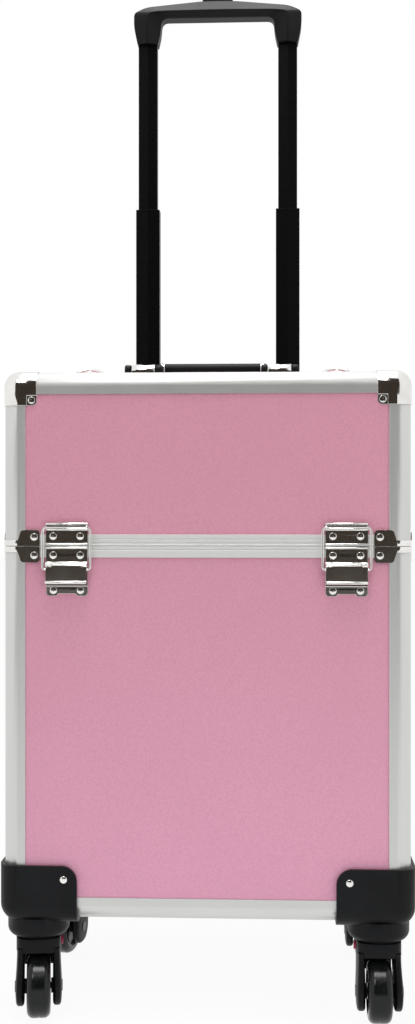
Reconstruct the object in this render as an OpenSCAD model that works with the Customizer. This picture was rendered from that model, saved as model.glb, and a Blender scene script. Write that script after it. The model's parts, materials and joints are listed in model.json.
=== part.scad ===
// Rolling makeup case: covered boards in an aluminium frame, a lift-off lid held by four
// draw latches, four swivel casters and a two-stage trolley handle. Millimetres, +Z up,
// front towards -Y, origin on the floor at the middle of the whole outline.

/* [Case] */
// Outside width of the aluminium frame
body_w = 360; // [330:1:420]
// Outside depth of the aluminium frame
body_d = 240; // [200:1:320]
// Height of the tub, from its underside to the seam
tub_h = 330; // [300:1:420]
// Height of the lid, from the seam to its top
lid_h = 154; // [110:1:180]

/* [Frame] */
// Leg of the corner and edge profiles
frame_leg = 20; // [18:0.5:21]
// Outer radius of the corner and edge profiles
frame_radius = 13; // [11:0.5:14]
// Wall of every aluminium profile
frame_wall = 1.4; // [1:0.1:2]
// Height of each rim profile at the seam
rim_h = 10; // [9:0.5:12]
// Thickness of the covered boards
panel_t = 5; // [4:0.5:6]
// Reach of a board into an edge channel
panel_bite = 7; // [4:0.5:7.5]
// Reach of a board into a rim channel
rim_bite = 5.5; // [3:0.5:6]
// Clearance on each face of a board in its channel
panel_fit = 0.1; // [0.05:0.05:0.2]
// Thickness of the lining sheets
liner_t = 1.2; // [0.8:0.1:2]
// Width of the tongue on the tub rim
tongue_w = 2; // [1.5:0.1:3]
// Height of the tongue on the tub rim
tongue_h = 2.4; // [1.5:0.1:3]
// Gap between the lid and the tub at the seam
seam_gap = 0.3; // [0.2:0.05:0.5]

/* [Plates] */
// Thickness of the latch and catch plates
latch_t = 1.2; // [1:0.1:1.6]
// Thickness of the chrome corner pieces
trim_t = 1; // [0.8:0.1:1.4]
// Leg of the ball corners on each face
ball_leg = 30; // [28:0.5:34]
// Distance of a ball corner's rivets from the edges of the frame legs
tab_rivet = 5.4; // [5:0.1:6]
// Reach of the seam corner plates from the outer corner
plate_reach = 33; // [30:0.5:34]
// Height of each seam corner plate from the seam
plate_h = 14; // [12:0.5:16]
// Height of the strap that joins the lobes of a corner plate
strap_h = 5; // [3:0.5:7]
// Diameter of a rivet head
rivet_d = 6.2; // [4.5:0.1:6.5]
// Height of a rivet head
rivet_h = 1; // [0.6:0.1:1.4]
// Diameter of a rivet shank
shank_d = 2.4; // [2:0.1:3]

/* [Latches] */
// Distance of the latches from the sides of the case
latch_inset = 57; // [56:0.5:64]
// Width of the latch plates
latch_w = 37; // [34:0.5:38]
// Drop of the latch pivot below the seam
pivot_drop = 16; // [15.5:0.5:18]
// Outside diameter of the latch knuckles
knuckle_d = 5; // [4.4:0.1:5]
// Diameter of the latch pin
pin_d = 2; // [1.6:0.1:2.4]
// Drop of the loop's eyes below the latch pivot
eye_drop = 4.4; // [4.3:0.1:5]
// Wire diameter of the latch loops
wire_d = 2.2; // [1.8:0.1:2.4]
// Height of the loop's top wire above the seam
hook_z = 17.3; // [15:0.1:20]
// Drop of the lever's lower edge below the seam
lever_drop = 33; // [30:0.5:36]
// Height of the latch foot on the board
latch_foot_h = 10; // [8:0.5:12]

/* [Foot corners] */
// Length of each foot corner along the case edges
foot_len = 66; // [60:0.5:70]
// Height of each foot corner above the underside
foot_h = 48; // [40:0.5:55]
// Wall of the foot corners
foot_wall = 4; // [3:0.5:5]
// Radius of the free corners of a foot corner
foot_round = 14; // [6:0.5:17]
// Inset of the caster axis from both outer faces
caster_inset = 27.5; // [27:0.5:32]
// Height of the domed caster socket
socket_h = 15.1; // [12:0.1:20]
// Diameter of the domed caster socket at its top
socket_d = 55; // [50:0.5:56]

/* [Casters] */
// Diameter of the wheels
wheel_d = 55; // [45:1:60]
// Width of the wheels
wheel_w = 21; // [18:0.5:23]
// Diameter of the wheel axles
axle_d = 6; // [5:0.25:8]
// Offset of the axle from the swivel axis
caster_trail = 12; // [8:0.5:18]
// Width of the forks and of their necks
fork_w = 40; // [38:0.5:44]
// Thickness of each fork arm
arm_t = 7.5; // [5:0.5:8]
// Radius of the arm ends round the axle
arm_end_r = 17; // [12:0.5:18]
// Height of the fork's neck over the wheel
neck_h = 13.4; // [11:0.2:16]
// Gap between the wheel and the fork's neck
crown_gap = 3; // [2:0.5:5]
// Diameter of the swivel spigot
spigot_d = 16; // [12:0.5:20]
// Gap between the neck and its socket for the swivel
swivel_gap = 0.4; // [0.3:0.1:0.6]
// Diameter of the wheel release buttons
unlock_d = 7.6; // [6:0.2:8.6]
// Swivel of the front left caster at rest, in degrees
turn_front_left = 9; // [-30:1:30]
// Swivel of the front right caster at rest, in degrees
turn_front_right = 0; // [-30:1:30]
// Swivel of the rear left caster at rest, in degrees
turn_rear_left = -12; // [-30:1:30]
// Swivel of the rear right caster at rest, in degrees
turn_rear_right = 0; // [-30:1:30]

/* [Trolley] */
// Distance of the tubes from the middle of the case
tube_x = 74.3; // [60:0.1:78]
// Distance of the tube axes behind the case
tube_back = 20; // [18:0.5:24]
// Width of the outer tubes
outer_w = 25; // [24:0.5:27]
// Depth of the outer tubes across their ridges
outer_d = 20; // [19:0.5:22]
// Width of the inner tubes
inner_w = 20; // [18:0.5:20.5]
// Depth of the inner tubes across their ridges
inner_d = 15; // [13.5:0.5:15.5]
// Slope of the tubes' ridged faces
ridge_slope = 0.2; // [0.1:0.05:0.25]
// Wall of the inner tubes and of the sleeves
tube_wall = 1.5; // [1:0.1:2]
// Sliding clearance between the tubes
slide_fit = 0.3; // [0.2:0.05:0.5]
// Height of the sleeve tops above the floor
sleeve_top = 370; // [350:1:372]
// Height of the outer tube tops above the floor
outer_top = 774; // [740:1:800]
// Height of the grip's sockets above the floor, at their lower ends
grip_z = 942; // [940:1:980]
// Length of the outer tubes
outer_len = 464; // [445:1:480]
// Length of the inner tubes
inner_len = 243; // [220:1:246]
// Least length of each tube that stays inside the one below it
tube_hold = 40; // [30:1:45]
// Height of the bushes on the outer tubes
bush_h = 5; // [3:0.5:10]

/* [Grip] */
// Outside width of the grip
grip_w = 180; // [178:1:200]
// Depth of the grip
grip_d = 34; // [30:0.5:40]
// Height of the grip's bar above the bottom of its sockets
grip_rise = 32; // [31:0.5:40]
// Height of the grip's bar at its ends
bar_h = 15; // [14.5:0.5:20]
// Rise of the grip's hump over its bar
hump_h = 8; // [6:0.5:10]
// Width of a grip socket
socket_w = 29; // [27:0.5:30]
// Width of the release button
button_w = 32; // [26:0.5:40]
// Depth of the release button
button_d = 13; // [10:0.5:16]
// Travel of the release button
button_travel = 4; // [3:0.5:4.5]
// Height of the release button above the hump
button_proud = 5; // [4.8:0.1:7]
// Diameter of the push rods
rod_d = 4.4; // [3:0.2:6]

/* [Lid fittings] */
// Distance of the handle saddles from the middle
saddle_x = 65; // [60:0.5:70]
// Length of a saddle along the handle's axis
saddle_w = 22; // [16:0.5:24]
// Height of the handle's pivot above the lid
handle_z = 12; // [11.5:0.5:16]
// Width of the handle's collars along the axis
handle_collar_w = 6.5; // [5:0.5:8]
// Diameter of the handle's pin
handle_pin_d = 5; // [4:0.5:6]
// Thickness of the handle's bar
handle_t = 13; // [11:0.5:15]
// Reach from the handle's pivot to the middle of its bar
handle_reach = 27; // [22:0.5:34]
// Rise of the handle's bar over its pivot
bar_lift = 4; // [0:0.5:6]
// Distance of the strap rings from the sides of the case
ring_inset = 60; // [54:0.5:68]
// Outside width of a strap ring
ring_w = 30; // [26:0.5:34]
// Wire diameter of a strap ring
ring_wire = 3; // [2.4:0.2:3.6]
// Straight length of a strap ring's legs
ring_leg = 6; // [5:0.5:10]
// Lean of the strap rings above the lid, in degrees
ring_lean = 28; // [20:1:50]

/* [Hidden] */

// Overlap that carries a cut through a face
eps = 1;
// Facets of a full circle in the preview
$fn = 64;
// Clearance of pieces that stay still on each other
seat_fit = 0.05;
// Clearance of a pin or shaft that turns in its hole
run_fit = 0.08;
// Clearance between pieces that pass each other
pass_fit = 0.3;

// Colours of the finishes
board_pink = [0.84, 0.6, 0.68];
alu_grey = [0.78, 0.79, 0.77];
chrome_grey = [0.7, 0.71, 0.72];
moulded_black = [0.12, 0.12, 0.125];
tube_black = [0.06, 0.06, 0.065];
wheel_black = [0.17, 0.18, 0.18];
lining_black = [0.09, 0.09, 0.095];
button_red = [0.72, 0.1, 0.2];

// Levels above the floor
crown_z = wheel_d + crown_gap;
socket_z = crown_z + neck_h + swivel_gap;
underside = socket_z + socket_h + foot_wall;
seam_z = underside + tub_h;
lid_z = seam_z + seam_gap;
top_z = lid_z + lid_h;

// Depth of the channel profiles and of the boards' faces in them
slot_d = panel_t + 2 * panel_fit;
channel_d = slot_d + 2 * frame_wall;
board_in = frame_wall + panel_fit;
board_edge = frame_leg - panel_bite + panel_fit;
rim_edge = rim_h - rim_bite + panel_fit;
// Screw port in the thick of the corner profiles
port_at = (frame_radius * (1 - 1 / sqrt(2)) + channel_d) / 2;
port_r = (channel_d - frame_radius * (1 - 1 / sqrt(2))) / sqrt(2) - frame_wall * 0.8;
// Shadow grooves along the outside of the rims: distance from the seam and width
groove_d = 0.6;
tub_grooves = [[2.5, 1.2]];
lid_grooves = [[1.6, 1.8], [5.7, 0.6]];

// Rounding of the wheels' treads, and the reach of a turned wheel in front of its swivel axis
tread_r = 6;
function wheel_reach(turn) =
  (caster_trail + wheel_d / 2 - tread_r) * cos(turn) + (wheel_w / 2 - tread_r) * abs(sin(turn)) + tread_r;

// Place of the case behind the middle of the whole outline
front_reach = max(wheel_reach(turn_front_left), wheel_reach(turn_front_right)) - caster_inset;
rear_reach = body_d + tube_back + grip_d / 2;
case_y = (front_reach - rear_reach) / 2 + body_d / 2;
tube_y = case_y + body_d / 2 + tube_back;

// Places across the case that follow its sides and the frame
latch_x = body_w / 2 - latch_inset;
ring_x = body_w / 2 - ring_inset;
ball_rivet = frame_leg + tab_rivet;

// Latch levels from the seam and depths from the frame's outer face
latch_y = -(latch_t + knuckle_d / 2);
pivot_z = -pivot_drop;
eye_z = pivot_z - eye_drop;
wire_y = -(latch_t + 2.2);
lever_t = 1.2;
lever_y = latch_y - knuckle_d / 2;
knuckle_w = 5.5;
rivet_x = 12;
catch_rivet_z = 8.8;
base_rivet_z = 8;
bead_r = 1.2;
ear_w = 3;
loop_r = latch_w / 2 + 2.6;
loop_bend = 5;
eye_bend = 2.4;

// Grip levels
bar_z = grip_z + grip_rise;
hump_z = bar_z + bar_h;
grip_top = hump_z + hump_h;
pocket_depth = grip_rise - 2;
yoke_h = 5;
yoke_d = 8;
yoke_z = hump_z - yoke_h - 2;
hump_span = grip_w - 22;
hump_r = (pow(hump_span / 2, 2) + pow(hump_h, 2)) / (2 * hump_h);

// Tube lengths, with enough left inside the tube below
inner_top = grip_z + pocket_depth;
outer_tube_len = max(outer_len, outer_top - bush_h - sleeve_top + tube_hold);
inner_tube_len = max(inner_len, inner_top - outer_top + tube_hold);

// Places of the four corners as mirror flags across X and Y
corner_flags = [[0, 0], [1, 0], [0, 1], [1, 1]];

function tube_side(w, d) = d / 2 - ridge_slope * w / 2;
function slant(t) = t * sqrt(1 + ridge_slope * ridge_slope);

// Point where a line from q touches the circle of radius r round c, on the turn's side
function touch(q, c, r, turn) =
  let (v = c - q, far = norm(v), a = atan2(v[1], v[0]) + turn * asin(r / far))
  q + sqrt(far * far - r * r) * [cos(a), sin(a)];

// Children drawn for the front left corner, set at one corner of the case
module at_corner(flags) {
  translate([0, case_y, 0])
    mirror([flags[0], 0, 0]) mirror([0, flags[1], 0])
      translate([-body_w / 2, -body_d / 2, 0]) children();
}

module at_corners() {
  for (flags = corner_flags) at_corner(flags) children();
}

module front_and_back() {
  for (flags = [[0, 0], [0, 1]]) at_corner(flags) children();
}

module left_and_right() {
  for (flags = [[0, 0], [1, 0]]) at_corner(flags) children();
}

// Children drawn on the front face with the seam at z = 0, set at one latch
module at_latch(flags) {
  side = flags[1] == 0 ? 1 : -1;
  across = flags[0] == 0 ? -1 : 1;
  translate([0, case_y, seam_z])
    rotate([0, 0, flags[1] == 0 ? 0 : 180])
      translate([side * across * latch_x, -body_d / 2, 0]) children();
}

module at_latches() {
  for (flags = corner_flags) at_latch(flags) children();
}

module quarter_ring(r_in, r_out) {
  intersection() {
    difference() {
      circle(r_out);
      circle(r_in);
    }
    translate([-r_out, -r_out]) square(r_out);
  }
}

// Rounded corner of three walls, from r_in to r_out about the frame's edge radius
module corner_shell(r_in, r_out, reach, height) {
  proud = r_out - frame_radius;
  wall = r_out - r_in;
  run = reach - frame_radius;
  rise = height - frame_radius;
  translate([frame_radius, frame_radius, frame_radius]) {
    rotate([0, 0, 180]) rotate_extrude(angle = 90) mirror([1, 0]) quarter_ring(r_in, r_out);
    linear_extrude(rise) quarter_ring(r_in, r_out);
    rotate([90, 0, 90]) linear_extrude(run) quarter_ring(r_in, r_out);
    translate([0, run, 0]) rotate([90, 0, 0]) linear_extrude(run) quarter_ring(r_in, r_out);
    translate([0, -frame_radius - proud, 0]) cube([run, wall, rise]);
    translate([-frame_radius - proud, 0, 0]) cube([wall, run, rise]);
    translate([0, 0, -frame_radius - proud]) cube([run, run, wall]);
  }
}

// Aluminium edge profile with a channel in each leg, outer corner at the origin
module edge_profile() {
  difference() {
    union() {
      intersection() {
        translate([frame_radius, frame_radius]) circle(frame_radius);
        square(frame_radius);
      }
      translate([frame_radius, 0]) square([frame_leg - frame_radius, channel_d]);
      translate([0, frame_radius]) square([channel_d, frame_leg - frame_radius]);
    }
    translate([channel_d, channel_d]) square(frame_leg);
    translate([frame_leg - panel_bite, frame_wall]) square([panel_bite + eps, slot_d]);
    translate([frame_wall, frame_leg - panel_bite]) square([slot_d, panel_bite + eps]);
    translate([port_at, port_at]) circle(port_r);
  }
}

module edge_rail_x() {
  translate([frame_leg, 0, 0])
    rotate([90, 0, 90]) linear_extrude(body_w - 2 * frame_leg) edge_profile();
}

module edge_rail_y() {
  translate([0, body_d - frame_leg, 0])
    rotate([90, 0, 0]) linear_extrude(body_d - 2 * frame_leg) edge_profile();
}

// Rim profile: depth along x, distance from the seam along y
module rim_profile(grooved) {
  tongue_in = (channel_d - tongue_w) / 2;
  difference() {
    union() {
      square([channel_d, rim_h]);
      if (!grooved) translate([tongue_in, -tongue_h]) square([tongue_w, tongue_h + eps]);
    }
    translate([frame_wall, rim_h - rim_bite]) square([slot_d, rim_bite + eps]);
    for (groove = grooved ? lid_grooves : tub_grooves)
      translate([-eps, groove[0]]) square([groove_d + eps, groove[1]]);
    if (grooved)
      translate([tongue_in - pass_fit, -eps])
        square([tongue_w + 2 * pass_fit, tongue_h + pass_fit + eps]);
  }
}

module rim_rails(grooved) {
  front_and_back()
    translate([frame_leg, 0, 0])
      rotate([90, 0, 90]) linear_extrude(body_w - 2 * frame_leg) rim_profile(grooved);
  left_and_right()
    translate([0, body_d - frame_leg, 0])
      rotate([90, 0, 0]) linear_extrude(body_d - 2 * frame_leg) rim_profile(grooved);
}

module wall_board_x(z_low, z_high) {
  translate([board_edge, board_in, z_low])
    cube([body_w - 2 * board_edge, panel_t, z_high - z_low]);
}

module wall_board_y(z_low, z_high) {
  translate([board_in, board_edge, z_low])
    cube([panel_t, body_d - 2 * board_edge, z_high - z_low]);
}

module flat_board(z) {
  translate([-body_w / 2 + board_edge, case_y - body_d / 2 + board_edge, z])
    cube([body_w - 2 * board_edge, body_d - 2 * board_edge, panel_t]);
}

// Lining sheets on the walls between z_low and z_high and on the board at z_board
module lining(z_low, z_high, z_board) {
  sheet_in = board_in + panel_t;
  edge = frame_leg + pass_fit;
  front_and_back()
    translate([edge, sheet_in, z_low])
      cube([body_w - 2 * edge, liner_t, z_high - z_low]);
  left_and_right()
    translate([sheet_in, edge, z_low])
      cube([liner_t, body_d - 2 * edge, z_high - z_low]);
  translate([-body_w / 2 + edge, case_y - body_d / 2 + edge, z_board])
    cube([body_w - 2 * edge, body_d - 2 * edge, liner_t]);
}

// Hollow rivet on a plate of thickness t: head outside, shank in the plate, axis along +Z
module rivet(t) {
  hole_r = 1.1;
  edge_h = rivet_h * 0.4;
  flank = rivet_h - edge_h;
  rotate_extrude()
    polygon([
      [0, 0], [rivet_d / 2, 0], [rivet_d / 2, edge_h], [rivet_d / 2 - flank, rivet_h],
      [hole_r, rivet_h], [hole_r, edge_h], [0, edge_h]
    ]);
  translate([0, 0, -t]) cylinder(d = shank_d - 2 * seat_fit, h = t);
}

module rivet_hole(t) {
  translate([0, 0, -t - eps]) cylinder(d = shank_d, h = t + 2 * eps);
}

// Rivet axis turned to point out of the front face
module facing_front() {
  rotate([90, 0, 0]) children();
}

module facing_left() {
  rotate([0, -90, 0]) children();
}

// Lobe of a seam corner plate: distance from the corner along x, from the seam along y
module plate_lobe() {
  edge_r = 3.2;
  neck = [frame_radius + 0.5, strap_h];
  outer = [plate_reach - edge_r, plate_h - edge_r];
  inner = [neck[0] + edge_r + 2, plate_h - edge_r];
  for (centre = [outer, inner]) translate(centre) circle(edge_r);
  polygon([
    [frame_radius, 0], [plate_reach, 0], [plate_reach, outer[1]], [outer[0], plate_h],
    [inner[0], plate_h], touch(neck, inner, edge_r, 1), neck, [frame_radius, strap_h]
  ]);
}

plate_rivet = [plate_reach - 5, plate_h / 2 + 0.8];

// Seam corner plate on a post, its seam edge at z = 0, rising to z = plate_h
module corner_plate() {
  module front_lobe() {
    difference() {
      translate([0, -seat_fit, 0]) rotate([90, 0, 0]) linear_extrude(trim_t) plate_lobe();
      translate([plate_rivet[0], -seat_fit - trim_t, plate_rivet[1]])
        facing_front() rivet_hole(trim_t);
    }
  }
  front_lobe();
  mirror([1, -1, 0]) front_lobe();
  translate([frame_radius, frame_radius, 0])
    linear_extrude(strap_h)
      quarter_ring(frame_radius + seat_fit, frame_radius + seat_fit + trim_t);
}

module corner_plate_rivets() {
  out = seat_fit + trim_t;
  translate([plate_rivet[0], -out, plate_rivet[1]]) facing_front() rivet(trim_t);
  translate([-out, plate_rivet[0], plate_rivet[1]]) facing_left() rivet(trim_t);
}

// Tub boards

module front_panel() {
  color(board_pink)
    at_corner([0, 0]) wall_board_x(underside + board_edge, seam_z - rim_edge);
}

module back_panel() {
  color(board_pink)
    at_corner([0, 1]) wall_board_x(underside + board_edge, seam_z - rim_edge);
}

module side_panels() {
  color(board_pink)
    left_and_right() wall_board_y(underside + board_edge, seam_z - rim_edge);
}

module floor_panel() {
  color(board_pink) flat_board(underside + board_in);
}

module corner_posts() {
  color(alu_grey)
    at_corners()
      translate([0, 0, underside + frame_leg])
        linear_extrude(tub_h - frame_leg) edge_profile();
}

module bottom_rails() {
  color(alu_grey) {
    front_and_back() translate([0, 0, underside]) edge_rail_x();
    left_and_right() translate([0, 0, underside]) edge_rail_y();
  }
}

module tub_rim() {
  color(alu_grey) translate([0, 0, seam_z]) mirror([0, 0, 1]) rim_rails(false);
}

module tub_liner() {
  color(lining_black)
    lining(underside + frame_leg + pass_fit, seam_z - rim_h - pass_fit,
      underside + board_in + panel_t);
}

// Foot corners with caster sockets

// Rounds off the free corner of a wall of the given reach and height
module free_corner_cut(reach, height) {
  translate([reach - foot_round, height - foot_round])
    difference() {
      square(foot_round + eps);
      circle(foot_round);
    }
}

module foot_corner(flags) {
  far = 2 * foot_len;
  at_corner(flags)
    difference() {
      union() {
        translate([0, 0, underside])
          difference() {
            corner_shell(frame_radius + panel_fit, frame_radius + foot_wall, foot_len, foot_h);
            translate([0, foot_len, 0])
              rotate([90, 0, 0]) linear_extrude(far) free_corner_cut(foot_len, foot_h);
            translate([-foot_wall - eps, 0, 0])
              rotate([90, 0, 90]) linear_extrude(far) free_corner_cut(foot_len, foot_h);
            translate([0, 0, -foot_wall - eps])
              linear_extrude(far) free_corner_cut(foot_len, foot_len);
          }
        translate([caster_inset, caster_inset, socket_z]) rotate_extrude() socket_profile();
      }
      translate([caster_inset, caster_inset, socket_z - eps])
        cylinder(d = spigot_d + 2 * run_fit, h = underside - socket_z + 2 * eps);
      translate([foot_screw[0], -foot_wall, underside + foot_screw[1]])
        facing_front() rivet_hole(foot_wall);
      translate([-foot_wall, foot_screw[0], underside + foot_screw[1]])
        facing_left() rivet_hole(foot_wall);
    }
}

foot_screw = [foot_len - 11.5, foot_h - 11.5];

// Half section of the domed socket, from its lower edge up into the foot's wall
module socket_profile() {
  top_r = socket_d / 2;
  edge_r = 8;
  height = socket_h + foot_wall - panel_fit;
  square([top_r - edge_r, height]);
  translate([0, edge_r]) square([top_r, height - edge_r]);
  translate([top_r - edge_r, edge_r]) circle(edge_r);
}

module foot_front_left() { color(moulded_black) foot_corner([0, 0]); }
module foot_front_right() { color(moulded_black) foot_corner([1, 0]); }
module foot_rear_left() { color(moulded_black) foot_corner([0, 1]); }
module foot_rear_right() { color(moulded_black) foot_corner([1, 1]); }

module tub_corner_plates() {
  color(chrome_grey)
    at_corners() translate([0, 0, seam_z - seam_gap]) mirror([0, 0, 1]) corner_plate();
}

// Latches

// Bar across the latch: centred on x, from y0 to y1 and z0 to z1
module latch_bar(width, y0, y1, z0, z1) {
  translate([-width / 2, y0, z0]) cube([width, y1 - y0, z1 - z0]);
}

base_step = -(lever_drop + 1);
base_low = base_step - latch_foot_h;
foot_rivet_z = (base_step + base_low) / 2;

// Outline of the latch foot: rounded lower corners and a slanted notch between them
module latch_foot_outline() {
  corner_r = 3;
  notch = latch_w / 2 - 11;
  notch_h = 2;
  half = latch_w / 2 - corner_r;
  difference() {
    union() {
      translate([-latch_w / 2, base_low + corner_r])
        square([latch_w, base_step - base_low - corner_r]);
      translate([-half, base_low]) square([2 * half, corner_r]);
      for (side = [-1, 1]) translate([side * half, base_low + corner_r]) circle(corner_r);
    }
    polygon([
      [-notch - notch_h - eps, base_low - eps], [-notch, base_low + notch_h],
      [notch, base_low + notch_h], [notch + notch_h + eps, base_low - eps]
    ]);
  }
}

module latch_base() {
  web_h = knuckle_d * 0.6;
  difference() {
    union() {
      latch_bar(latch_w, -latch_t, 0, base_step, -seam_gap);
      latch_bar(latch_w, -latch_t, board_in, base_step - latch_t, base_step);
      translate([0, board_in, 0])
        rotate([90, 0, 0]) linear_extrude(latch_t) latch_foot_outline();
      for (side = [-1, 1]) translate([side * (latch_w - knuckle_w) / 2, 0, 0]) {
        latch_bar(knuckle_w, latch_y, -latch_t, pivot_z - web_h / 2, pivot_z + web_h / 2);
        translate([-knuckle_w / 2, latch_y, pivot_z])
          rotate([0, 90, 0]) cylinder(d = knuckle_d, h = knuckle_w);
      }
    }
    translate([-latch_w, latch_y, pivot_z])
      rotate([0, 90, 0]) cylinder(d = pin_d + 2 * seat_fit, h = 2 * latch_w);
    for (side = [-1, 1]) {
      translate([side * rivet_x, -latch_t, -base_rivet_z])
        facing_front() rivet_hole(latch_t);
      translate([side * rivet_x, board_in - latch_t, foot_rivet_z])
        facing_front() rivet_hole(latch_t);
    }
  }
}

module latch_bases() {
  color(chrome_grey) at_latches() latch_base();
}

lip_out = 3;

module lever() {
  inner_w = latch_w - 2 * knuckle_w - 2 * pass_fit;
  flap_w = latch_w - 1;
  flap_top = pivot_z - knuckle_d / 2 - pass_fit;
  flap_low = -lever_drop;
  lip_r = 1.3;
  ear_back = -latch_t - pass_fit;
  difference() {
    union() {
      translate([-inner_w / 2, latch_y, pivot_z])
        rotate([0, 90, 0]) cylinder(d = knuckle_d, h = inner_w);
      latch_bar(inner_w, lever_y, lever_y + lever_t, flap_top - eps, pivot_z);
      latch_bar(flap_w, lever_y, lever_y + lever_t, flap_low, flap_top);
      latch_bar(flap_w, lever_y - lip_out, lever_y + lever_t, flap_low, flap_low + lever_t);
      translate([-flap_w / 2, lever_y - lip_out, flap_low + lip_r])
        rotate([0, 90, 0]) cylinder(r = lip_r, h = flap_w);
      for (side = [-1, 1]) translate([side * (flap_w - ear_w) / 2, 0, 0])
        latch_bar(ear_w, lever_y + lever_t, ear_back, eye_z - wire_d, eye_z + wire_d / 2 + 0.3);
    }
    translate([-latch_w, latch_y, pivot_z])
      rotate([0, 90, 0]) cylinder(d = pin_d + 2 * run_fit, h = 2 * latch_w);
    translate([-latch_w, wire_y, eye_z])
      rotate([0, 90, 0]) cylinder(d = wire_d + 2 * run_fit, h = 2 * latch_w);
  }
}

module lever_front_left() { color(chrome_grey) at_latch([0, 0]) lever(); }
module lever_front_right() { color(chrome_grey) at_latch([1, 0]) lever(); }
module lever_rear_left() { color(chrome_grey) at_latch([0, 1]) lever(); }
module lever_rear_right() { color(chrome_grey) at_latch([1, 1]) lever(); }

// Wire run along X or Z from a point
module wire_x(x, y, z, len) {
  translate([x, y, z]) rotate([0, 90, 0]) cylinder(d = wire_d, h = len);
}

module wire_z(x, y, z, len) {
  translate([x, y, z]) cylinder(d = wire_d, h = len);
}

// Quarter bend of wire in the XZ plane about a centre, from +X towards +Z
module wire_bend(x, z, radius) {
  translate([x, wire_y, z])
    rotate([90, 0, 0])
      rotate_extrude(angle = 90) translate([radius, 0]) circle(d = wire_d);
}

module half_loop() {
  side_x = loop_r;
  pin_in = latch_w / 2 - 0.5 - ear_w;
  wire_x(pin_in, wire_y, eye_z, side_x - eye_bend - pin_in);
  mirror([0, 0, 1]) wire_bend(side_x - eye_bend, -eye_z - eye_bend, eye_bend);
  wire_z(side_x, wire_y, eye_z + eye_bend, hook_z - loop_bend - eye_z - eye_bend);
  wire_bend(side_x - loop_bend, hook_z - loop_bend, loop_bend);
  wire_x(0, wire_y, hook_z, side_x - loop_bend);
}

module wire_loop() {
  half_loop();
  mirror([1, 0, 0]) half_loop();
}

module loop_front_left() { color(chrome_grey) at_latch([0, 0]) wire_loop(); }
module loop_front_right() { color(chrome_grey) at_latch([1, 0]) wire_loop(); }
module loop_rear_left() { color(chrome_grey) at_latch([0, 1]) wire_loop(); }
module loop_rear_right() { color(chrome_grey) at_latch([1, 1]) wire_loop(); }

module catch_plate() {
  bead_y = wire_y + wire_d / 2 + pass_fit + bead_r;
  low = seam_gap + 0.6;
  high = hook_z + wire_d / 2 + bead_r;
  difference() {
    union() {
      latch_bar(latch_w, -latch_t, 0, low, high);
      for (z = [hook_z - wire_d / 2 - bead_r, high])
        translate([-latch_w / 2, bead_y, z])
          rotate([0, 90, 0]) cylinder(r = bead_r, h = latch_w);
    }
    latch_bar(2 * latch_w, 0, 2 * bead_r, low, high + 2 * bead_r);
    for (side = [-1, 1])
      translate([side * rivet_x, -latch_t, catch_rivet_z])
        facing_front() rivet_hole(latch_t);
  }
}

module catch_plates() {
  color(chrome_grey) at_latches() catch_plate();
}

// Rivets, screws and latch pins that stay on the tub
module tub_fasteners() {
  color(chrome_grey) {
    at_latches() {
      translate([-latch_w / 2, latch_y, pivot_z])
        rotate([0, 90, 0]) cylinder(d = pin_d, h = latch_w);
      for (side = [-1, 1]) {
        translate([side * rivet_x, -latch_t, -base_rivet_z]) facing_front() rivet(latch_t);
        translate([side * rivet_x, board_in - latch_t, foot_rivet_z])
          facing_front() rivet(latch_t);
      }
    }
    at_corners() {
      translate([0, 0, seam_z - seam_gap]) mirror([0, 0, 1]) corner_plate_rivets();
      translate([foot_screw[0], -foot_wall, underside + foot_screw[1]])
        facing_front() rivet(foot_wall - panel_fit);
      translate([-foot_wall, foot_screw[0], underside + foot_screw[1]])
        facing_left() rivet(foot_wall - panel_fit);
    }
    for (z = mount_levels, side = [-1, 1])
      translate([side * mount_screw_x, mount_out, z + mount_h / 2])
        rotate([-90, 0, 0]) rivet(rivet_h);
  }
}

// Trolley

module tube_profile(w, d) {
  side = tube_side(w, d);
  polygon([
    [-w / 2, -side], [0, -d / 2], [w / 2, -side], [w / 2, side], [0, d / 2], [-w / 2, side]
  ]);
}

// Tube profile grown by t on every face, or shrunk where t is negative
module grown_profile(w, d, t) {
  tube_profile(w + 2 * t, d + 2 * slant(t));
}

module at_tubes() {
  for (side = [-1, 1]) translate([side * tube_x, tube_y, 0]) children();
}

sleeve_low = underside + frame_leg + 6;
mount_h = 24;
mount_floor = 4;
mount_wall = 3;
mount_levels = [sleeve_low - mount_floor, sleeve_top - mount_h];
mount_half = tube_x + outer_w / 2 + slide_fit + tube_wall + mount_wall;
mount_screw_x = tube_x / 2;
mount_out = tube_y + outer_d / 2;

module trolley_sleeves() {
  color(tube_black)
    at_tubes()
      translate([0, 0, sleeve_low])
        linear_extrude(sleeve_top - sleeve_low)
          difference() {
            grown_profile(outer_w, outer_d, slide_fit + tube_wall);
            grown_profile(outer_w, outer_d, slide_fit);
          }
}

// Bars that hold the sleeves against the back board
module trolley_mounts() {
  face = case_y + body_d / 2 - board_in;
  back = tube_y + outer_d / 2 + slant(slide_fit + tube_wall) + mount_wall;
  color(moulded_black)
    difference() {
      union() for (z = mount_levels) {
        translate([-mount_half, face, z]) cube([2 * mount_half, mount_out - face, mount_h]);
        for (side = [-1, 1])
          translate([side * tube_x - mount_half + tube_x, face, z])
            cube([2 * (mount_half - tube_x), back - face, mount_h]);
      }
      at_tubes()
        translate([0, 0, sleeve_low])
          linear_extrude(sleeve_top)
            grown_profile(outer_w, outer_d, slide_fit + tube_wall + seat_fit);
      for (z = mount_levels, side = [-1, 1])
        translate([side * mount_screw_x, mount_out, z + mount_h / 2])
          rotate([-90, 0, 0]) rivet_hole(rivet_h);
    }
}

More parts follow.
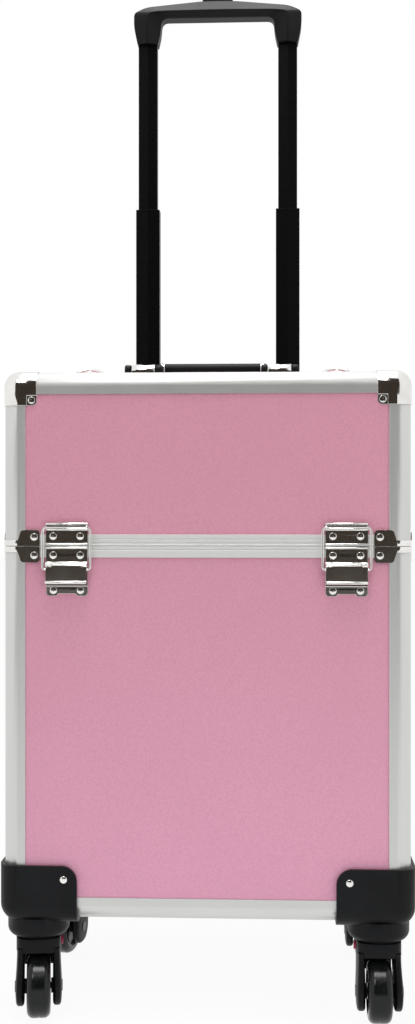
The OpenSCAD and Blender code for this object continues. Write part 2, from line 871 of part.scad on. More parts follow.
// Outer tubes, each closed at the top by a bush that guides the inner tube
module outer_tubes() {
  bore = slide_fit * 2;
  color(tube_black)
    at_tubes() {
      translate([0, 0, outer_top - bush_h - outer_tube_len])
        linear_extrude(outer_tube_len)
          difference() {
            tube_profile(outer_w, outer_d);
            grown_profile(inner_w, inner_d, bore);
          }
      translate([0, 0, outer_top - bush_h])
        linear_extrude(bush_h)
          difference() {
            tube_profile(outer_w, outer_d);
            grown_profile(inner_w, inner_d, slide_fit);
          }
    }
}

module inner_tubes() {
  color(tube_black)
    at_tubes()
      translate([0, 0, inner_top - inner_tube_len])
        linear_extrude(inner_tube_len)
          difference() {
            tube_profile(inner_w, inner_d);
            grown_profile(inner_w, inner_d, -tube_wall);
          }
}

// Front outline of the grip's bar, x across and y up from the bar's lower edge
module bar_outline() {
  end_r = bar_h / 2 + 3;
  intersection() {
    union() {
      translate([-grip_w / 2 + end_r, 0]) square([grip_w - 2 * end_r, bar_h]);
      for (side = [-1, 1]) translate([side * (grip_w / 2 - end_r), end_r]) circle(end_r);
    }
    translate([-grip_w / 2, 0]) square([grip_w, bar_h]);
  }
  intersection() {
    translate([0, bar_h + hump_h - hump_r]) circle(hump_r, $fn = 256);
    translate([-hump_span / 2, 0]) square([hump_span, bar_h + hump_h]);
  }
}

// Side outline of the grip's bar: flat front and back with rounded edges
module bar_section() {
  translate([0, (bar_h + hump_h) / 2]) rounded_block(grip_d, bar_h + hump_h, 7);
}

// Rectangle about the origin with four rounded corners
module rounded_block(w, h, r) {
  for (x = [r - w / 2, w / 2 - r], y = [r - h / 2, h / 2 - r]) translate([x, y]) circle(r);
  square([w, h - 2 * r], center = true);
  square([w - 2 * r, h], center = true);
}

// Socket outline, x across and y up, tapering towards its lower end
module grip_socket_outline() {
  low_w = inner_w + 4;
  taper_h = 9;
  polygon([
    [-low_w / 2, 0], [low_w / 2, 0], [socket_w / 2, taper_h], [socket_w / 2, grip_rise + eps],
    [-socket_w / 2, grip_rise + eps], [-socket_w / 2, taper_h]
  ]);
}

module trolley_grip() {
  socket_depth = inner_d + 9;
  well_w = button_w + 2 * pass_fit;
  well_d = button_d + 2 * pass_fit;
  channel_w = 2 * tube_x + rod_d + 6;
  channel_h = yoke_h + button_travel + 2 * pass_fit;
  color(moulded_black)
    translate([0, tube_y, 0])
      difference() {
        union() {
          translate([0, 0, bar_z])
            intersection() {
              translate([0, grip_d, 0])
                rotate([90, 0, 0]) linear_extrude(2 * grip_d) bar_outline();
              translate([-grip_w, 0, 0])
                rotate([90, 0, 90]) linear_extrude(2 * grip_w) bar_section();
            }
          for (side = [-1, 1])
            translate([side * tube_x, socket_depth / 2, grip_z])
              rotate([90, 0, 0]) linear_extrude(socket_depth) grip_socket_outline();
        }
        for (side = [-1, 1]) translate([side * tube_x, 0, 0]) {
          translate([0, 0, grip_z - eps])
            linear_extrude(pocket_depth + eps) grown_profile(inner_w, inner_d, seat_fit);
          translate([0, 0, grip_z])
            cylinder(d = rod_d + 2 * pass_fit, h = hump_z - grip_z - yoke_h);
        }
        translate([-channel_w / 2, -yoke_d / 2 - pass_fit, yoke_z - button_travel - pass_fit])
          cube([channel_w, yoke_d + 2 * pass_fit, channel_h]);
        translate([-well_w / 2, -well_d / 2, yoke_z + yoke_h - button_travel])
          cube([well_w, well_d, grip_top]);
      }
}

module release_button() {
  cap_r = 5;
  low = yoke_z + yoke_h;
  color(button_red)
    translate([0, tube_y, 0])
      intersection() {
        translate([-button_w / 2, -button_d / 2, low])
          cube([button_w, button_d, grip_top + button_proud - low]);
        translate([0, button_d, low - eps])
          rotate([90, 0, 0])
            linear_extrude(2 * button_d)
              rounded_top(button_w, grip_top + button_proud - low + eps, cap_r);
      }
}

// Upright rectangle with two rounded upper corners
module rounded_top(w, h, r) {
  translate([-w / 2, 0]) square([w, h - r]);
  translate([-w / 2 + r, 0]) square([w - 2 * r, h]);
  for (side = [-1, 1]) translate([side * (w / 2 - r), h - r]) circle(r);
}

// Yoke under the button with a push rod down each inner tube
module push_rods() {
  rod_low = inner_top - inner_tube_len + 6;
  yoke_w = 2 * tube_x + rod_d;
  color(alu_grey)
    translate([0, tube_y, 0]) {
      translate([-yoke_w / 2, -yoke_d / 2, yoke_z]) cube([yoke_w, yoke_d, yoke_h]);
      for (side = [-1, 1])
        translate([side * tube_x, 0, rod_low]) cylinder(d = rod_d, h = yoke_z + yoke_h - rod_low);
    }
}

// Lid

module lid_wall_panels() {
  color(board_pink) {
    front_and_back() wall_board_x(lid_z + rim_edge, top_z - board_edge);
    left_and_right() wall_board_y(lid_z + rim_edge, top_z - board_edge);
  }
}

module lid_top_panel() {
  color(board_pink) flat_board(top_z - board_in - panel_t);
}

module lid_posts() {
  color(alu_grey)
    at_corners()
      translate([0, 0, lid_z]) linear_extrude(lid_h - frame_leg) edge_profile();
}

module lid_top_rails() {
  color(alu_grey)
    translate([0, 0, top_z]) mirror([0, 0, 1]) {
      front_and_back() edge_rail_x();
      left_and_right() edge_rail_y();
    }
}

module lid_rim() {
  color(alu_grey) translate([0, 0, lid_z]) rim_rails(true);
}

module lid_liner() {
  color(lining_black)
    lining(lid_z + rim_h + pass_fit, top_z - frame_leg - pass_fit,
      top_z - board_in - panel_t - liner_t);
}

// Chrome corner with a recessed tab on each face, drawn for a corner at the origin
module ball_corner() {
  step_t = trim_t;
  tab_in = board_in - trim_t;
  module tab() {
    difference() {
      union() {
        translate([frame_leg + panel_fit, frame_leg + panel_fit, tab_in])
          linear_extrude(trim_t) tab_outline();
        translate([frame_leg + panel_fit, frame_leg + panel_fit, -trim_t])
          linear_extrude(board_in + trim_t)
            difference() {
              square(ball_leg - frame_leg - panel_fit);
              translate([step_t, step_t]) square(ball_leg);
            }
      }
      translate([ball_rivet, ball_rivet, tab_in]) mirror([0, 0, 1]) rivet_hole(trim_t);
    }
  }
  difference() {
    corner_shell(frame_radius + panel_fit, frame_radius + trim_t, ball_leg, ball_leg);
    translate([frame_leg + panel_fit, frame_leg + panel_fit, -2 * trim_t])
      cube([ball_leg, ball_leg, 3 * trim_t]);
    translate([frame_leg + panel_fit, -2 * trim_t, frame_leg + panel_fit])
      cube([ball_leg, 3 * trim_t, ball_leg]);
    translate([-2 * trim_t, frame_leg + panel_fit, frame_leg + panel_fit])
      cube([3 * trim_t, ball_leg, ball_leg]);
  }
  tab();
  mirror([0, 1, -1]) tab();
  mirror([1, 0, -1]) tab();
}

// Outline of a tab: a square with its free corner rounded
module tab_outline() {
  side = ball_leg - frame_leg - panel_fit;
  round_r = 4;
  square([side - round_r, side]);
  square([side, side - round_r]);
  translate([side - round_r, side - round_r]) circle(round_r);
}

module ball_corners() {
  color(chrome_grey) at_corners() translate([0, 0, top_z]) mirror([0, 0, 1]) ball_corner();
}

module lid_corner_plates() {
  color(chrome_grey) at_corners() translate([0, 0, lid_z]) corner_plate();
}

// Rivets and screws that stay on the lid
module lid_fasteners() {
  tab_in = board_in - trim_t;
  color(chrome_grey) {
    at_latches()
      for (side = [-1, 1])
        translate([side * rivet_x, -latch_t, catch_rivet_z]) facing_front() rivet(latch_t);
    at_corners() {
      translate([0, 0, lid_z]) corner_plate_rivets();
      translate([0, 0, top_z]) mirror([0, 0, 1]) {
        translate([ball_rivet, ball_rivet, tab_in]) mirror([0, 0, 1]) rivet(trim_t);
        translate([ball_rivet, tab_in, ball_rivet]) facing_front() rivet(trim_t);
        translate([tab_in, ball_rivet, ball_rivet]) facing_left() rivet(trim_t);
      }
    }
    at_fitting_screws() rivet(fitting_t);
  }
}

// Lid fittings: handle saddles and ring plates

deck_z = top_z - board_in;
fitting_t = 2;
saddle_d = 30;
ring_plate_w = 26;
ring_plate_d = 26;
ring_hold_w = 12;
ring_pin_z = 8;
handle_y = case_y - handle_reach / 2;
fitting_screw = 9;

module at_saddles() {
  for (side = [-1, 1]) translate([side * saddle_x, handle_y, deck_z]) children();
}

module at_rings() {
  for (side = [-1, 1]) translate([side * ring_x, case_y, deck_z]) children();
}

module at_fitting_screws() {
  at_saddles()
    for (side = [-1, 1]) translate([0, side * saddle_d / 2 - side * 4, fitting_t]) children();
  at_rings()
    for (side = [-1, 1]) translate([side * fitting_screw, -fitting_screw, fitting_t]) children();
}

// Saddle: a base plate with a round-topped block that the handle's pin turns in
module saddle() {
  block_d = 14;
  difference() {
    union() {
      translate([-saddle_w / 2, -saddle_d / 2, 0]) cube([saddle_w, saddle_d, fitting_t]);
      translate([-saddle_w / 2, -block_d / 2, 0]) cube([saddle_w, block_d, handle_z]);
      translate([-saddle_w / 2, 0, handle_z])
        rotate([0, 90, 0]) cylinder(d = block_d, h = saddle_w);
    }
    translate([-saddle_w, 0, handle_z])
      rotate([0, 90, 0]) cylinder(d = handle_pin_d + 2 * run_fit, h = 2 * saddle_w);
    for (side = [-1, 1])
      translate([0, side * saddle_d / 2 - side * 4, fitting_t]) rivet_hole(fitting_t);
  }
}

// Ring plate: a base with a round-topped holder for the ring's straight bar
module ring_plate() {
  holder_d = ring_wire + 4;
  difference() {
    union() {
      translate([-ring_plate_w / 2, -ring_plate_d / 2, 0])
        cube([ring_plate_w, ring_plate_d, fitting_t]);
      translate([-ring_hold_w / 2, -holder_d / 2, 0]) cube([ring_hold_w, holder_d, ring_pin_z]);
      translate([-ring_hold_w / 2, 0, ring_pin_z])
        rotate([0, 90, 0]) cylinder(d = holder_d, h = ring_hold_w);
    }
    translate([-ring_plate_w, 0, ring_pin_z])
      rotate([0, 90, 0]) cylinder(d = ring_wire + 2 * run_fit, h = 2 * ring_plate_w);
    for (side = [-1, 1])
      translate([side * fitting_screw, -fitting_screw, fitting_t]) rivet_hole(fitting_t);
  }
}

module lid_brackets() {
  color(chrome_grey) {
    at_saddles() saddle();
    at_rings() ring_plate();
  }
}

// Carry handle lying back on the lid: pins, collars, rising arms and a bar
module carry_handle() {
  collar_d = handle_t;
  inner_x = saddle_x - saddle_w / 2 - pass_fit;
  outer_x = saddle_x + saddle_w / 2 + pass_fit;
  arm_x = inner_x - handle_collar_w;
  arm_low = 1 - collar_d / 2;
  color(moulded_black)
    translate([0, handle_y, deck_z + handle_z]) {
      for (side = [0, 1]) mirror([side, 0, 0]) {
        translate([arm_x, 0, 0])
          rotate([0, 90, 0]) cylinder(d = handle_pin_d, h = outer_x + handle_collar_w - arm_x);
        for (x = [arm_x, outer_x])
          translate([x, -collar_d / 2, arm_low])
            cube([handle_collar_w, collar_d, collar_d / 2 - arm_low]);
        translate([arm_x, 0, 0])
          rotate([90, 0, 90])
            linear_extrude(handle_collar_w)
              polygon([
                [0, arm_low], [handle_reach, bar_lift + arm_low],
                [handle_reach, bar_lift + collar_d / 2], [0, collar_d / 2]
              ]);
      }
      translate([-arm_x - handle_collar_w, handle_reach, bar_lift])
        rotate([0, 90, 0]) cylinder(d = handle_t, h = 2 * (arm_x + handle_collar_w));
    }
}

// Strap ring: a straight bar, two legs and a half round, leaning back from its holder
module strap_ring(side) {
  r = (ring_w - ring_wire) / 2;
  color(chrome_grey)
    translate([side * ring_x, case_y, deck_z + ring_pin_z])
      rotate([ring_lean, 0, 0]) {
        translate([-r, 0, 0]) rotate([0, 90, 0]) cylinder(d = ring_wire, h = 2 * r);
        for (x = [-r, r]) translate([x, 0, 0]) {
          sphere(d = ring_wire);
          rotate([-90, 0, 0]) cylinder(d = ring_wire, h = ring_leg);
        }
        translate([0, ring_leg, 0])
          rotate_extrude(angle = 180) translate([r, 0]) circle(d = ring_wire);
      }
}

module ring_left() { strap_ring(-1); }
module ring_right() { strap_ring(1); }

// Casters: drawn about the swivel axis, with the wheel trailing towards -Y

caster_turns = [[turn_front_left, turn_front_right], [turn_rear_left, turn_rear_right]];

module at_caster(flags) {
  across = flags[0] == 0 ? -1 : 1;
  along = flags[1] == 0 ? -1 : 1;
  translate([
    across * (body_w / 2 - caster_inset), case_y + along * (body_d / 2 - caster_inset), 0
  ]) rotate([0, 0, caster_turns[flags[1]][flags[0]]]) children();
}

axle_z = wheel_d / 2;
neck_r = fork_w / 4;
unlock_z = crown_z + neck_h / 2;
unlock_in = 6;
unlock_proud = 2;
unlock_travel = 1.8;

// Side of a caster that looks at the middle of the case
function inner_side(flags) = flags[0] == 0 ? 1 : -1;

// Children drawn along +Z, set on the button's axis at a distance from the swivel axis
module on_unlock_axis(flags, out) {
  translate([inner_side(flags) * out, 0, unlock_z])
    rotate([0, inner_side(flags) * 90, 0]) children();
}

module arm_outline() {
  hub = [-caster_trail, axle_z];
  half = fork_w / 2 - neck_r + 2;
  front_top = [-half, crown_z];
  rear_top = [half, crown_z];
  translate(hub) circle(arm_end_r);
  polygon([
    front_top, touch(front_top, hub, arm_end_r, -1), hub, touch(rear_top, hub, arm_end_r, 1),
    rear_top
  ]);
  translate([-half, crown_z]) square([2 * half, neck_h / 2]);
}

// Fork: neck with the spigot, two arms and a web behind the wheel
module fork(flags) {
  gap_w = fork_w - 2 * arm_t;
  web_t = 3;
  web_y = wheel_d / 2 - caster_trail - 4;
  web_z = wheel_d * 0.8;
  color(moulded_black)
    at_caster(flags)
      difference() {
        union() {
          translate([0, 0, crown_z])
            linear_extrude(neck_h) rounded_block(fork_w, fork_w, neck_r);
          translate([-gap_w / 2, web_y, web_z]) cube([gap_w, web_t, crown_z + eps - web_z]);
          translate([0, 0, crown_z])
            cylinder(d = spigot_d, h = underside - panel_fit - pass_fit - crown_z);
          for (side = [-1, 1])
            translate([side * (fork_w - arm_t) / 2 - arm_t / 2, 0, 0])
              rotate([90, 0, 90]) linear_extrude(arm_t) arm_outline();
        }
        translate([-fork_w, -caster_trail, axle_z])
          rotate([0, 90, 0]) cylinder(d = axle_d + 2 * seat_fit, h = 2 * fork_w);
        on_unlock_axis(flags, fork_w / 2 - unlock_in)
          cylinder(d = unlock_d + 2 * run_fit, h = 2 * unlock_in);
      }
}

module fork_front_left() { fork([0, 0]); }
module fork_front_right() { fork([1, 0]); }
module fork_rear_left() { fork([0, 1]); }
module fork_rear_right() { fork([1, 1]); }

// Half section of the wheel: radius along x, width along y
module wheel_section() {
  r = wheel_d / 2;
  half = wheel_w / 2;
  boss_r = axle_d / 2 + 4;
  rim_r = r - 8;
  dish = 3;
  part_w = 0.8;
  part_d = 0.5;
  bore_r = axle_d / 2 + run_fit;
  difference() {
    union() {
      translate([0, -half]) square([r - tread_r, wheel_w]);
      translate([0, -half + tread_r]) square([r, wheel_w - 2 * tread_r]);
      for (side = [-1, 1]) translate([r - tread_r, side * (half - tread_r)]) circle(tread_r);
    }
    translate([-eps, -wheel_w]) square([bore_r + eps, 2 * wheel_w]);
    for (y = [-half - eps, half - dish]) translate([boss_r, y]) square([rim_r - boss_r, dish + eps]);
    translate([r - part_d, -part_w / 2]) square([part_d + eps, part_w]);
  }
}

module wheel(flags) {
  color(wheel_black)
    at_caster(flags)
      translate([0, -caster_trail, axle_z])
        rotate([0, 90, 0]) rotate_extrude() wheel_section();
}

module wheel_front_left() { wheel([0, 0]); }
module wheel_front_right() { wheel([1, 0]); }
module wheel_rear_left() { wheel([0, 1]); }
module wheel_rear_right() { wheel([1, 1]); }

module axle(flags) {
  head_d = axle_d + 4;
  head_h = 1.2;
  color(alu_grey)
    at_caster(flags)
      translate([0, -caster_trail, axle_z])
        rotate([0, 90, 0]) {
          translate([0, 0, -fork_w / 2]) cylinder(d = axle_d, h = fork_w);
          for (side = [0, 1]) mirror([0, 0, side])
            translate([0, 0, fork_w / 2]) cylinder(d = head_d, h = head_h);
        }
}

module axle_front_left() { axle([0, 0]); }
module axle_front_right() { axle([1, 0]); }
module axle_rear_left() { axle([0, 1]); }
module axle_rear_right() { axle([1, 1]); }

// Red button in the neck that frees a caster, on the side towards the middle
module unlock_button(flags) {
  low = fork_w / 2 - unlock_in + unlock_travel + pass_fit;
  color(button_red)
    at_caster(flags)
      on_unlock_axis(flags, low)
        cylinder(d = unlock_d, h = fork_w / 2 + unlock_proud - low);
}

module unlock_front_left() { unlock_button([0, 0]); }
module unlock_front_right() { unlock_button([1, 0]); }
module unlock_rear_left() { unlock_button([0, 1]); }
module unlock_rear_right() { unlock_button([1, 1]); }

front_panel();
back_panel();
side_panels();
floor_panel();
corner_posts();
bottom_rails();
tub_rim();
tub_liner();
foot_front_left();
foot_front_right();
foot_rear_left();
foot_rear_right();
tub_corner_plates();
latch_bases();
tub_fasteners();
trolley_sleeves();
trolley_mounts();
lid_wall_panels();
lid_top_panel();
lid_posts();
lid_top_rails();
lid_rim();
lid_liner();
ball_corners();
lid_corner_plates();
catch_plates();
lid_fasteners();
lid_brackets();
outer_tubes();
inner_tubes();
trolley_grip();
release_button();
push_rods();
carry_handle();
ring_left();
ring_right();
fork_front_left();
fork_front_right();
fork_rear_left();
fork_rear_right();
wheel_front_left();
wheel_front_right();
wheel_rear_left();
wheel_rear_right();
axle_front_left();
axle_front_right();
axle_rear_left();
axle_rear_right();
unlock_front_left();
unlock_front_right();
unlock_rear_left();
unlock_rear_right();
lever_front_left();
lever_front_right();
lever_rear_left();
lever_rear_right();
loop_front_left();
loop_front_right();
loop_rear_left();
loop_rear_right();
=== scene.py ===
# %% [markdown]
# # Dressing a rolling makeup case
# The case is a box of pink covered boards in a satin aluminium frame. A chrome-cornered lid lifts
# off a tub that stands on four black casters, and a black trolley handle stands behind it.
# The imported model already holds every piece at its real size. This lesson gives each surface its
# finish, rounds what a press or a mould would round, and sets up the camera and the studio.

# %% Load the frame
import json
import bmesh
import bpy
import numpy as np
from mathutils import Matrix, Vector

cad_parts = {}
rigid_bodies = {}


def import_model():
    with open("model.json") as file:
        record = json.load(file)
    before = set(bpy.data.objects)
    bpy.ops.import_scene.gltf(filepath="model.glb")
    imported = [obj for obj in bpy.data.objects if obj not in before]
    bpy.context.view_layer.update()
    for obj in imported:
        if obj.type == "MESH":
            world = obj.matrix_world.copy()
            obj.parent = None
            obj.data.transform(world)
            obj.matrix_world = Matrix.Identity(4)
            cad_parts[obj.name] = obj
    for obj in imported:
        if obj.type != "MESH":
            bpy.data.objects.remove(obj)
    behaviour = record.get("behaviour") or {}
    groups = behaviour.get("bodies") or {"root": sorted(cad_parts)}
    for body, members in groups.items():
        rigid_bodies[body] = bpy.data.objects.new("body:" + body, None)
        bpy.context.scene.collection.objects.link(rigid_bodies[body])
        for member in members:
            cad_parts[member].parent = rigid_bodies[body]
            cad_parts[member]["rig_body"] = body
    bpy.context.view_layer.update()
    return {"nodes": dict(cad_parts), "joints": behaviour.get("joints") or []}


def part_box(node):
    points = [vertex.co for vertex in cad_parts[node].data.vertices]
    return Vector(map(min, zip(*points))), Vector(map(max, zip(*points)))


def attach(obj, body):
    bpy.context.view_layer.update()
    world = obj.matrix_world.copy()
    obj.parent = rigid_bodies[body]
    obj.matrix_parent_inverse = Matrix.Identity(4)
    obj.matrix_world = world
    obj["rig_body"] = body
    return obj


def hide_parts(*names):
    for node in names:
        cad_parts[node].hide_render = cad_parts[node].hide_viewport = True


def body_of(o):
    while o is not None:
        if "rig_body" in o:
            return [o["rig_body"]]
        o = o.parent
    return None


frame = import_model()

MM = 0.001

# %% [markdown]
# ## Camera
# The picture was taken level, a little to the right of the middle, with the lens at about half
# the height of the object. A level camera keeps the posts upright, so only the yaw is turned,
# and a small shift puts the eye line where the picture has it.

# %% Camera
IMAGE_H = 1024
FOCAL_PX = 1376.5
EYE_LINE_PX = 518.9
SENSOR_MM = 24
CAMERA_AT = (0.0584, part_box("corner_posts")[0].y - 1.2076, 0.445)
CAMERA_YAW = np.radians(2.711)


def add_camera():
    """A level camera whose focal length in pixels is turned into millimetres of lens."""
    data = bpy.data.cameras.new("camera")
    data.sensor_fit = "VERTICAL"
    data.sensor_height = SENSOR_MM
    data.lens = SENSOR_MM * FOCAL_PX / IMAGE_H
    data.shift_y = (EYE_LINE_PX - IMAGE_H / 2) / IMAGE_H
    camera = bpy.data.objects.new("camera", data)
    camera.location = CAMERA_AT
    camera.rotation_euler = (np.pi / 2, 0, CAMERA_YAW)
    bpy.context.scene.collection.objects.link(camera)
    bpy.context.scene.camera = camera
    return camera


camera = add_camera()
bpy.context.scene.view_settings.view_transform = "Standard"
print("lens", round(camera.data.lens, 2), "mm")

# %% [markdown]
# ## Shader maths as Python
# A material is a graph of nodes, and wiring it by hand hides the idea. One small class wraps an
# output socket, so that a * b + 1 on two sockets adds the Math nodes that work it out.

# %% Socket wrapper


class Wire:
    """An output socket. Arithmetic on it adds Math nodes to the same node tree."""

    def __init__(self, tree, socket):
        self.tree = tree
        self.socket = socket

    def node(self, kind, settings=None, inputs=None, output=0):
        """Adds a node: first its settings, then the values or wires of its sockets."""
        made = self.tree.nodes.new(kind)
        for key, value in (settings or {}).items():
            setattr(made, key, value)
        for key, value in (inputs or {}).items():
            if isinstance(value, Wire):
                self.tree.links.new(value.socket, made.inputs[key])
            else:
                made.inputs[key].default_value = value
        return Wire(self.tree, made.outputs[output])

    def math(self, operation, left, right):
        return self.node("ShaderNodeMath", {"operation": operation}, {0: left, 1: right})

    def blend(self, low, high):
        """The colour low where this value is 0, high where it is 1."""
        return self.node("ShaderNodeMix", {"data_type": "RGBA"}, {0: self, 6: low, 7: high}, 2)

    def between(self, low, high):
        """This value carried from low..high to 0..1, held at both ends."""
        spans = {"From Min": low, "From Max": high, "Value": self}
        return self.node("ShaderNodeMapRange", {"clamp": True}, spans)

    def feeds(self, shader, name):
        self.tree.links.new(self.socket, shader.inputs[name])

    def __add__(self, other):
        return self.math("ADD", self, other)

    def __sub__(self, other):
        return self.math("SUBTRACT", self, other)

    def __rsub__(self, other):
        return self.math("SUBTRACT", other, self)

    def __mul__(self, other):
        return self.math("MULTIPLY", self, other)

    __radd__ = __add__
    __rmul__ = __mul__


def new_finish(name, **constants):
    """A material with one Principled shader: its constants are set on the shader's own sockets."""
    material = bpy.data.materials.new(name)
    material.use_nodes = True
    tree = material.node_tree
    shader = tree.nodes["Principled BSDF"]
    for key, value in constants.items():
        shader.inputs[key.replace("_", " ")].default_value = value
    place = tree.nodes.new("ShaderNodeTexCoord")
    return material, shader, Wire(tree, place.outputs["Object"])


NOISE_SPAN = (0.3, 0.7)


def noise(place, per_metre, detail=2.0, rough=0.5, stretch=(1, 1, 1)):
    """Soft noise, mostly inside NOISE_SPAN, drawn out along the axes with a small stretch."""
    spot = place.node("ShaderNodeMapping", inputs={"Vector": place, "Scale": stretch})
    values = {"Vector": spot, "Scale": per_metre, "Detail": detail, "Roughness": rough}
    return place.node("ShaderNodeTexNoise", inputs=values)


def cells(place, per_metre):
    """Distance from the nearest of scattered points: small pebbles with dark joints between."""
    return place.node("ShaderNodeTexVoronoi", inputs={"Vector": place, "Scale": per_metre})


def bump(height, shader, strength, metres):
    """Tilts the surface's normals as if height raised it by up to so many metres."""
    values = {"Height": height, "Strength": strength, "Distance": metres}
    height.node("ShaderNodeBump", inputs=values).feeds(shader, "Normal")


def tint(colour, factor):
    """An opaque colour, lighter or darker by a factor."""
    return (*(channel * factor for channel in colour), 1.0)


print("shader helpers ready")

# %% [markdown]
# ## The covered boards
# The boards are thin plywood under an embossed pink film. Its grain is a leather print: pebbles
# about a millimetre and a half across, with shallow joints. An image of leather would repeat, so
# the pebbles are cells scattered through space, and a slow noise keeps the pink from being flat.

# %% Pink film
PINK = (0.535, 0.236, 0.304)


def pink_film():
    material, shader, place = new_finish("pink_film", Specular_IOR_Level=0.35)
    pebbles = cells(place, per_metre=520).between(0.1, 0.8)
    fine = noise(place, per_metre=900)
    slow = noise(place, per_metre=9, detail=3)
    shade = slow * 0.3 + pebbles * 0.4 + fine * 0.3
    light, dark = tint(PINK, 1.05), tint(PINK, 0.95)
    shade.between(*NOISE_SPAN).blend(light, dark).feeds(shader, "Base Color")
    (pebbles * 0.12 + 0.4).feeds(shader, "Roughness")
    bump(fine * 0.5 - pebbles, shader, strength=0.35, metres=0.0003)
    return material


film = pink_film()
print("finish", film.name)

# %% [markdown]
# ## The metals
# The frame is anodised aluminium: a soft, even satin with faint draw lines. The ridged rims at the
# seam are duller, as their ridges scatter the light, and their colour is lightened as painted
# light.
# The fittings are bright chrome over pressed steel, so they mirror the room: dark where they face
# the camera, white along every rolled edge.
# All are one shader with other roughness and colour. A noise drawn out along the rail makes the
# lines, because the rails were drawn through a die in that direction.

# %% Aluminium and chrome
SATIN = (0.68, 0.685, 0.67)
BRIGHT, CLOUDED = (0.86, 0.85, 0.82, 1), (0.74, 0.73, 0.71, 1)


def satin_aluminium(name, stretch, light=1.0, rough=0.38):
    """Anodised aluminium whose draw lines run along the axis with the small stretch."""
    material, shader, place = new_finish(name, Metallic=1.0)
    lines = noise(place, per_metre=900, stretch=stretch)
    slow = noise(place, per_metre=14)
    shade = lines * 0.6 + slow * 0.4
    # A light above 1 lightens the base colour: painted light, a lit copy of the same satin.
    dull, clear = tint(SATIN, 0.97 * light), tint(SATIN, 1.03 * light)
    shade.between(*NOISE_SPAN).blend(dull, clear).feeds(shader, "Base Color")
    (lines * 0.1 + rough).feeds(shader, "Roughness")
    bump(lines, shader, strength=0.08, metres=0.00005)
    return material


def chrome():
    material, shader, place = new_finish("chrome", Metallic=1.0)
    cloud = noise(place, per_metre=60, detail=3)
    cloud.between(0.35, 0.75).blend(BRIGHT, CLOUDED).feeds(shader, "Base Color")
    (cloud * 0.08 + 0.06).feeds(shader, "Roughness")
    bump(cloud, shader, strength=0.05, metres=0.0002)
    return material


UPRIGHT, LEVEL = (1, 1, 0.02), (0.05, 0.05, 1)
post_metal = satin_aluminium("satin_upright", UPRIGHT)
rail_metal = satin_aluminium("satin_rails", LEVEL)
# The rims' base colour is 12 per cent lighter than the posts' and rails': painted light that
# brightens the rougher rims.
rim_metal = satin_aluminium("satin_rims", LEVEL, light=1.12, rough=0.58)
bright_metal = chrome()
print("finishes", post_metal.name, rail_metal.name, rim_metal.name, bright_metal.name)

# %% [markdown]
# ## Black plastics, paint and lining
# Moulded corners and forks have a fine spark-eroded grain, the tubes a smooth black paint, and
# the wheels a polished tread. Black shows little but its highlights, so these finishes differ
# mostly in roughness and in how coarse their grain is. The wheel releases are red, the lining is
# felt, and the steel is bright on the hidden rods and blackened on the axles.

# %% Blacks
MOULDED = (0.0042, 0.0042, 0.0043, 1), (0.0062, 0.0062, 0.0064, 1)
PAINTED = (0.0012, 0.0012, 0.0012, 1), (0.002, 0.002, 0.002, 1)
POLISHED = (0.003, 0.0033, 0.0033, 1), (0.007, 0.0075, 0.0072, 1)
RED = (0.24, 0.008, 0.03, 1), (0.3, 0.01, 0.04, 1)
FELT = (0.008, 0.008, 0.009, 1), (0.026, 0.026, 0.028, 1)
BRIGHT_GREY, BLACKENED_GREY = 0.58, 0.05


def moulded_black():
    material, shader, place = new_finish("moulded_black", Specular_IOR_Level=0.14)
    grain = noise(place, per_metre=2600)
    slow = noise(place, per_metre=30)
    slow.between(*NOISE_SPAN).blend(*MOULDED).feeds(shader, "Base Color")
    (grain * 0.12 + 0.36).feeds(shader, "Roughness")
    bump(grain, shader, strength=0.12, metres=0.00008)
    return material


def tube_paint():
    material, shader, place = new_finish("tube_paint", Specular_IOR_Level=0.07)
    peel = noise(place, per_metre=420, detail=1)
    peel.between(*NOISE_SPAN).blend(*PAINTED).feeds(shader, "Base Color")
    (peel * 0.1 + 0.3).feeds(shader, "Roughness")
    bump(peel, shader, strength=0.06, metres=0.0001)
    return material


def polished_tread():
    material, shader, place = new_finish("polished_tread", Specular_IOR_Level=0.3)
    scuff = noise(place, per_metre=300, detail=4, rough=0.6)
    scuff.between(0.35, 0.75).blend(*POLISHED).feeds(shader, "Base Color")
    (scuff.between(0.4, 0.8) * 0.1 + 0.18).feeds(shader, "Roughness")
    bump(scuff, shader, strength=0.04, metres=0.0001)
    return material


def red_plastic():
    material, shader, place = new_finish("red_plastic", Specular_IOR_Level=0.4)
    slow = noise(place, per_metre=200)
    slow.between(*NOISE_SPAN).blend(*RED).feeds(shader, "Base Color")
    (slow * 0.1 + 0.3).feeds(shader, "Roughness")
    return material


def felt_lining():
    material, shader, place = new_finish("felt_lining", Specular_IOR_Level=0.2)
    fibre = noise(place, per_metre=1800, detail=4, rough=0.7)
    fibre.between(*NOISE_SPAN).blend(*FELT).feeds(shader, "Base Color")
    (fibre * 0.1 + 0.85).feeds(shader, "Roughness")
    bump(fibre, shader, strength=0.5, metres=0.0004)
    return material


def plain_steel(name, light):
    material, shader, place = new_finish(name, Metallic=1.0)
    lines = noise(place, per_metre=700, stretch=(0.05, 1, 1))
    grey = (light, light, light)
    lines.between(*NOISE_SPAN).blend(tint(grey, 0.9), tint(grey, 1.1)).feeds(shader, "Base Color")
    (lines * 0.15 + 0.22).feeds(shader, "Roughness")
    return material


black_mould = moulded_black()
black_paint = tube_paint()
tread = polished_tread()
red = red_plastic()
felt = felt_lining()
steel = plain_steel("bright_steel", BRIGHT_GREY)
dark_steel = plain_steel("blackened_steel", BLACKENED_GREY)
blacks = (black_mould, black_paint, tread, red, felt, steel, dark_steel)
print("finishes", [finish.name for finish in blacks])

# %% [markdown]
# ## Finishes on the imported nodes
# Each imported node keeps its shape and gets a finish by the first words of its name. Sharp CAD
# edges look cut from paper, so a weld and a small bevel break them. A press leaves a few tenths of
# a millimetre on a metal edge, a mould nearly one on plastic. A modifier does it, so the packed
# mesh stays as it is.

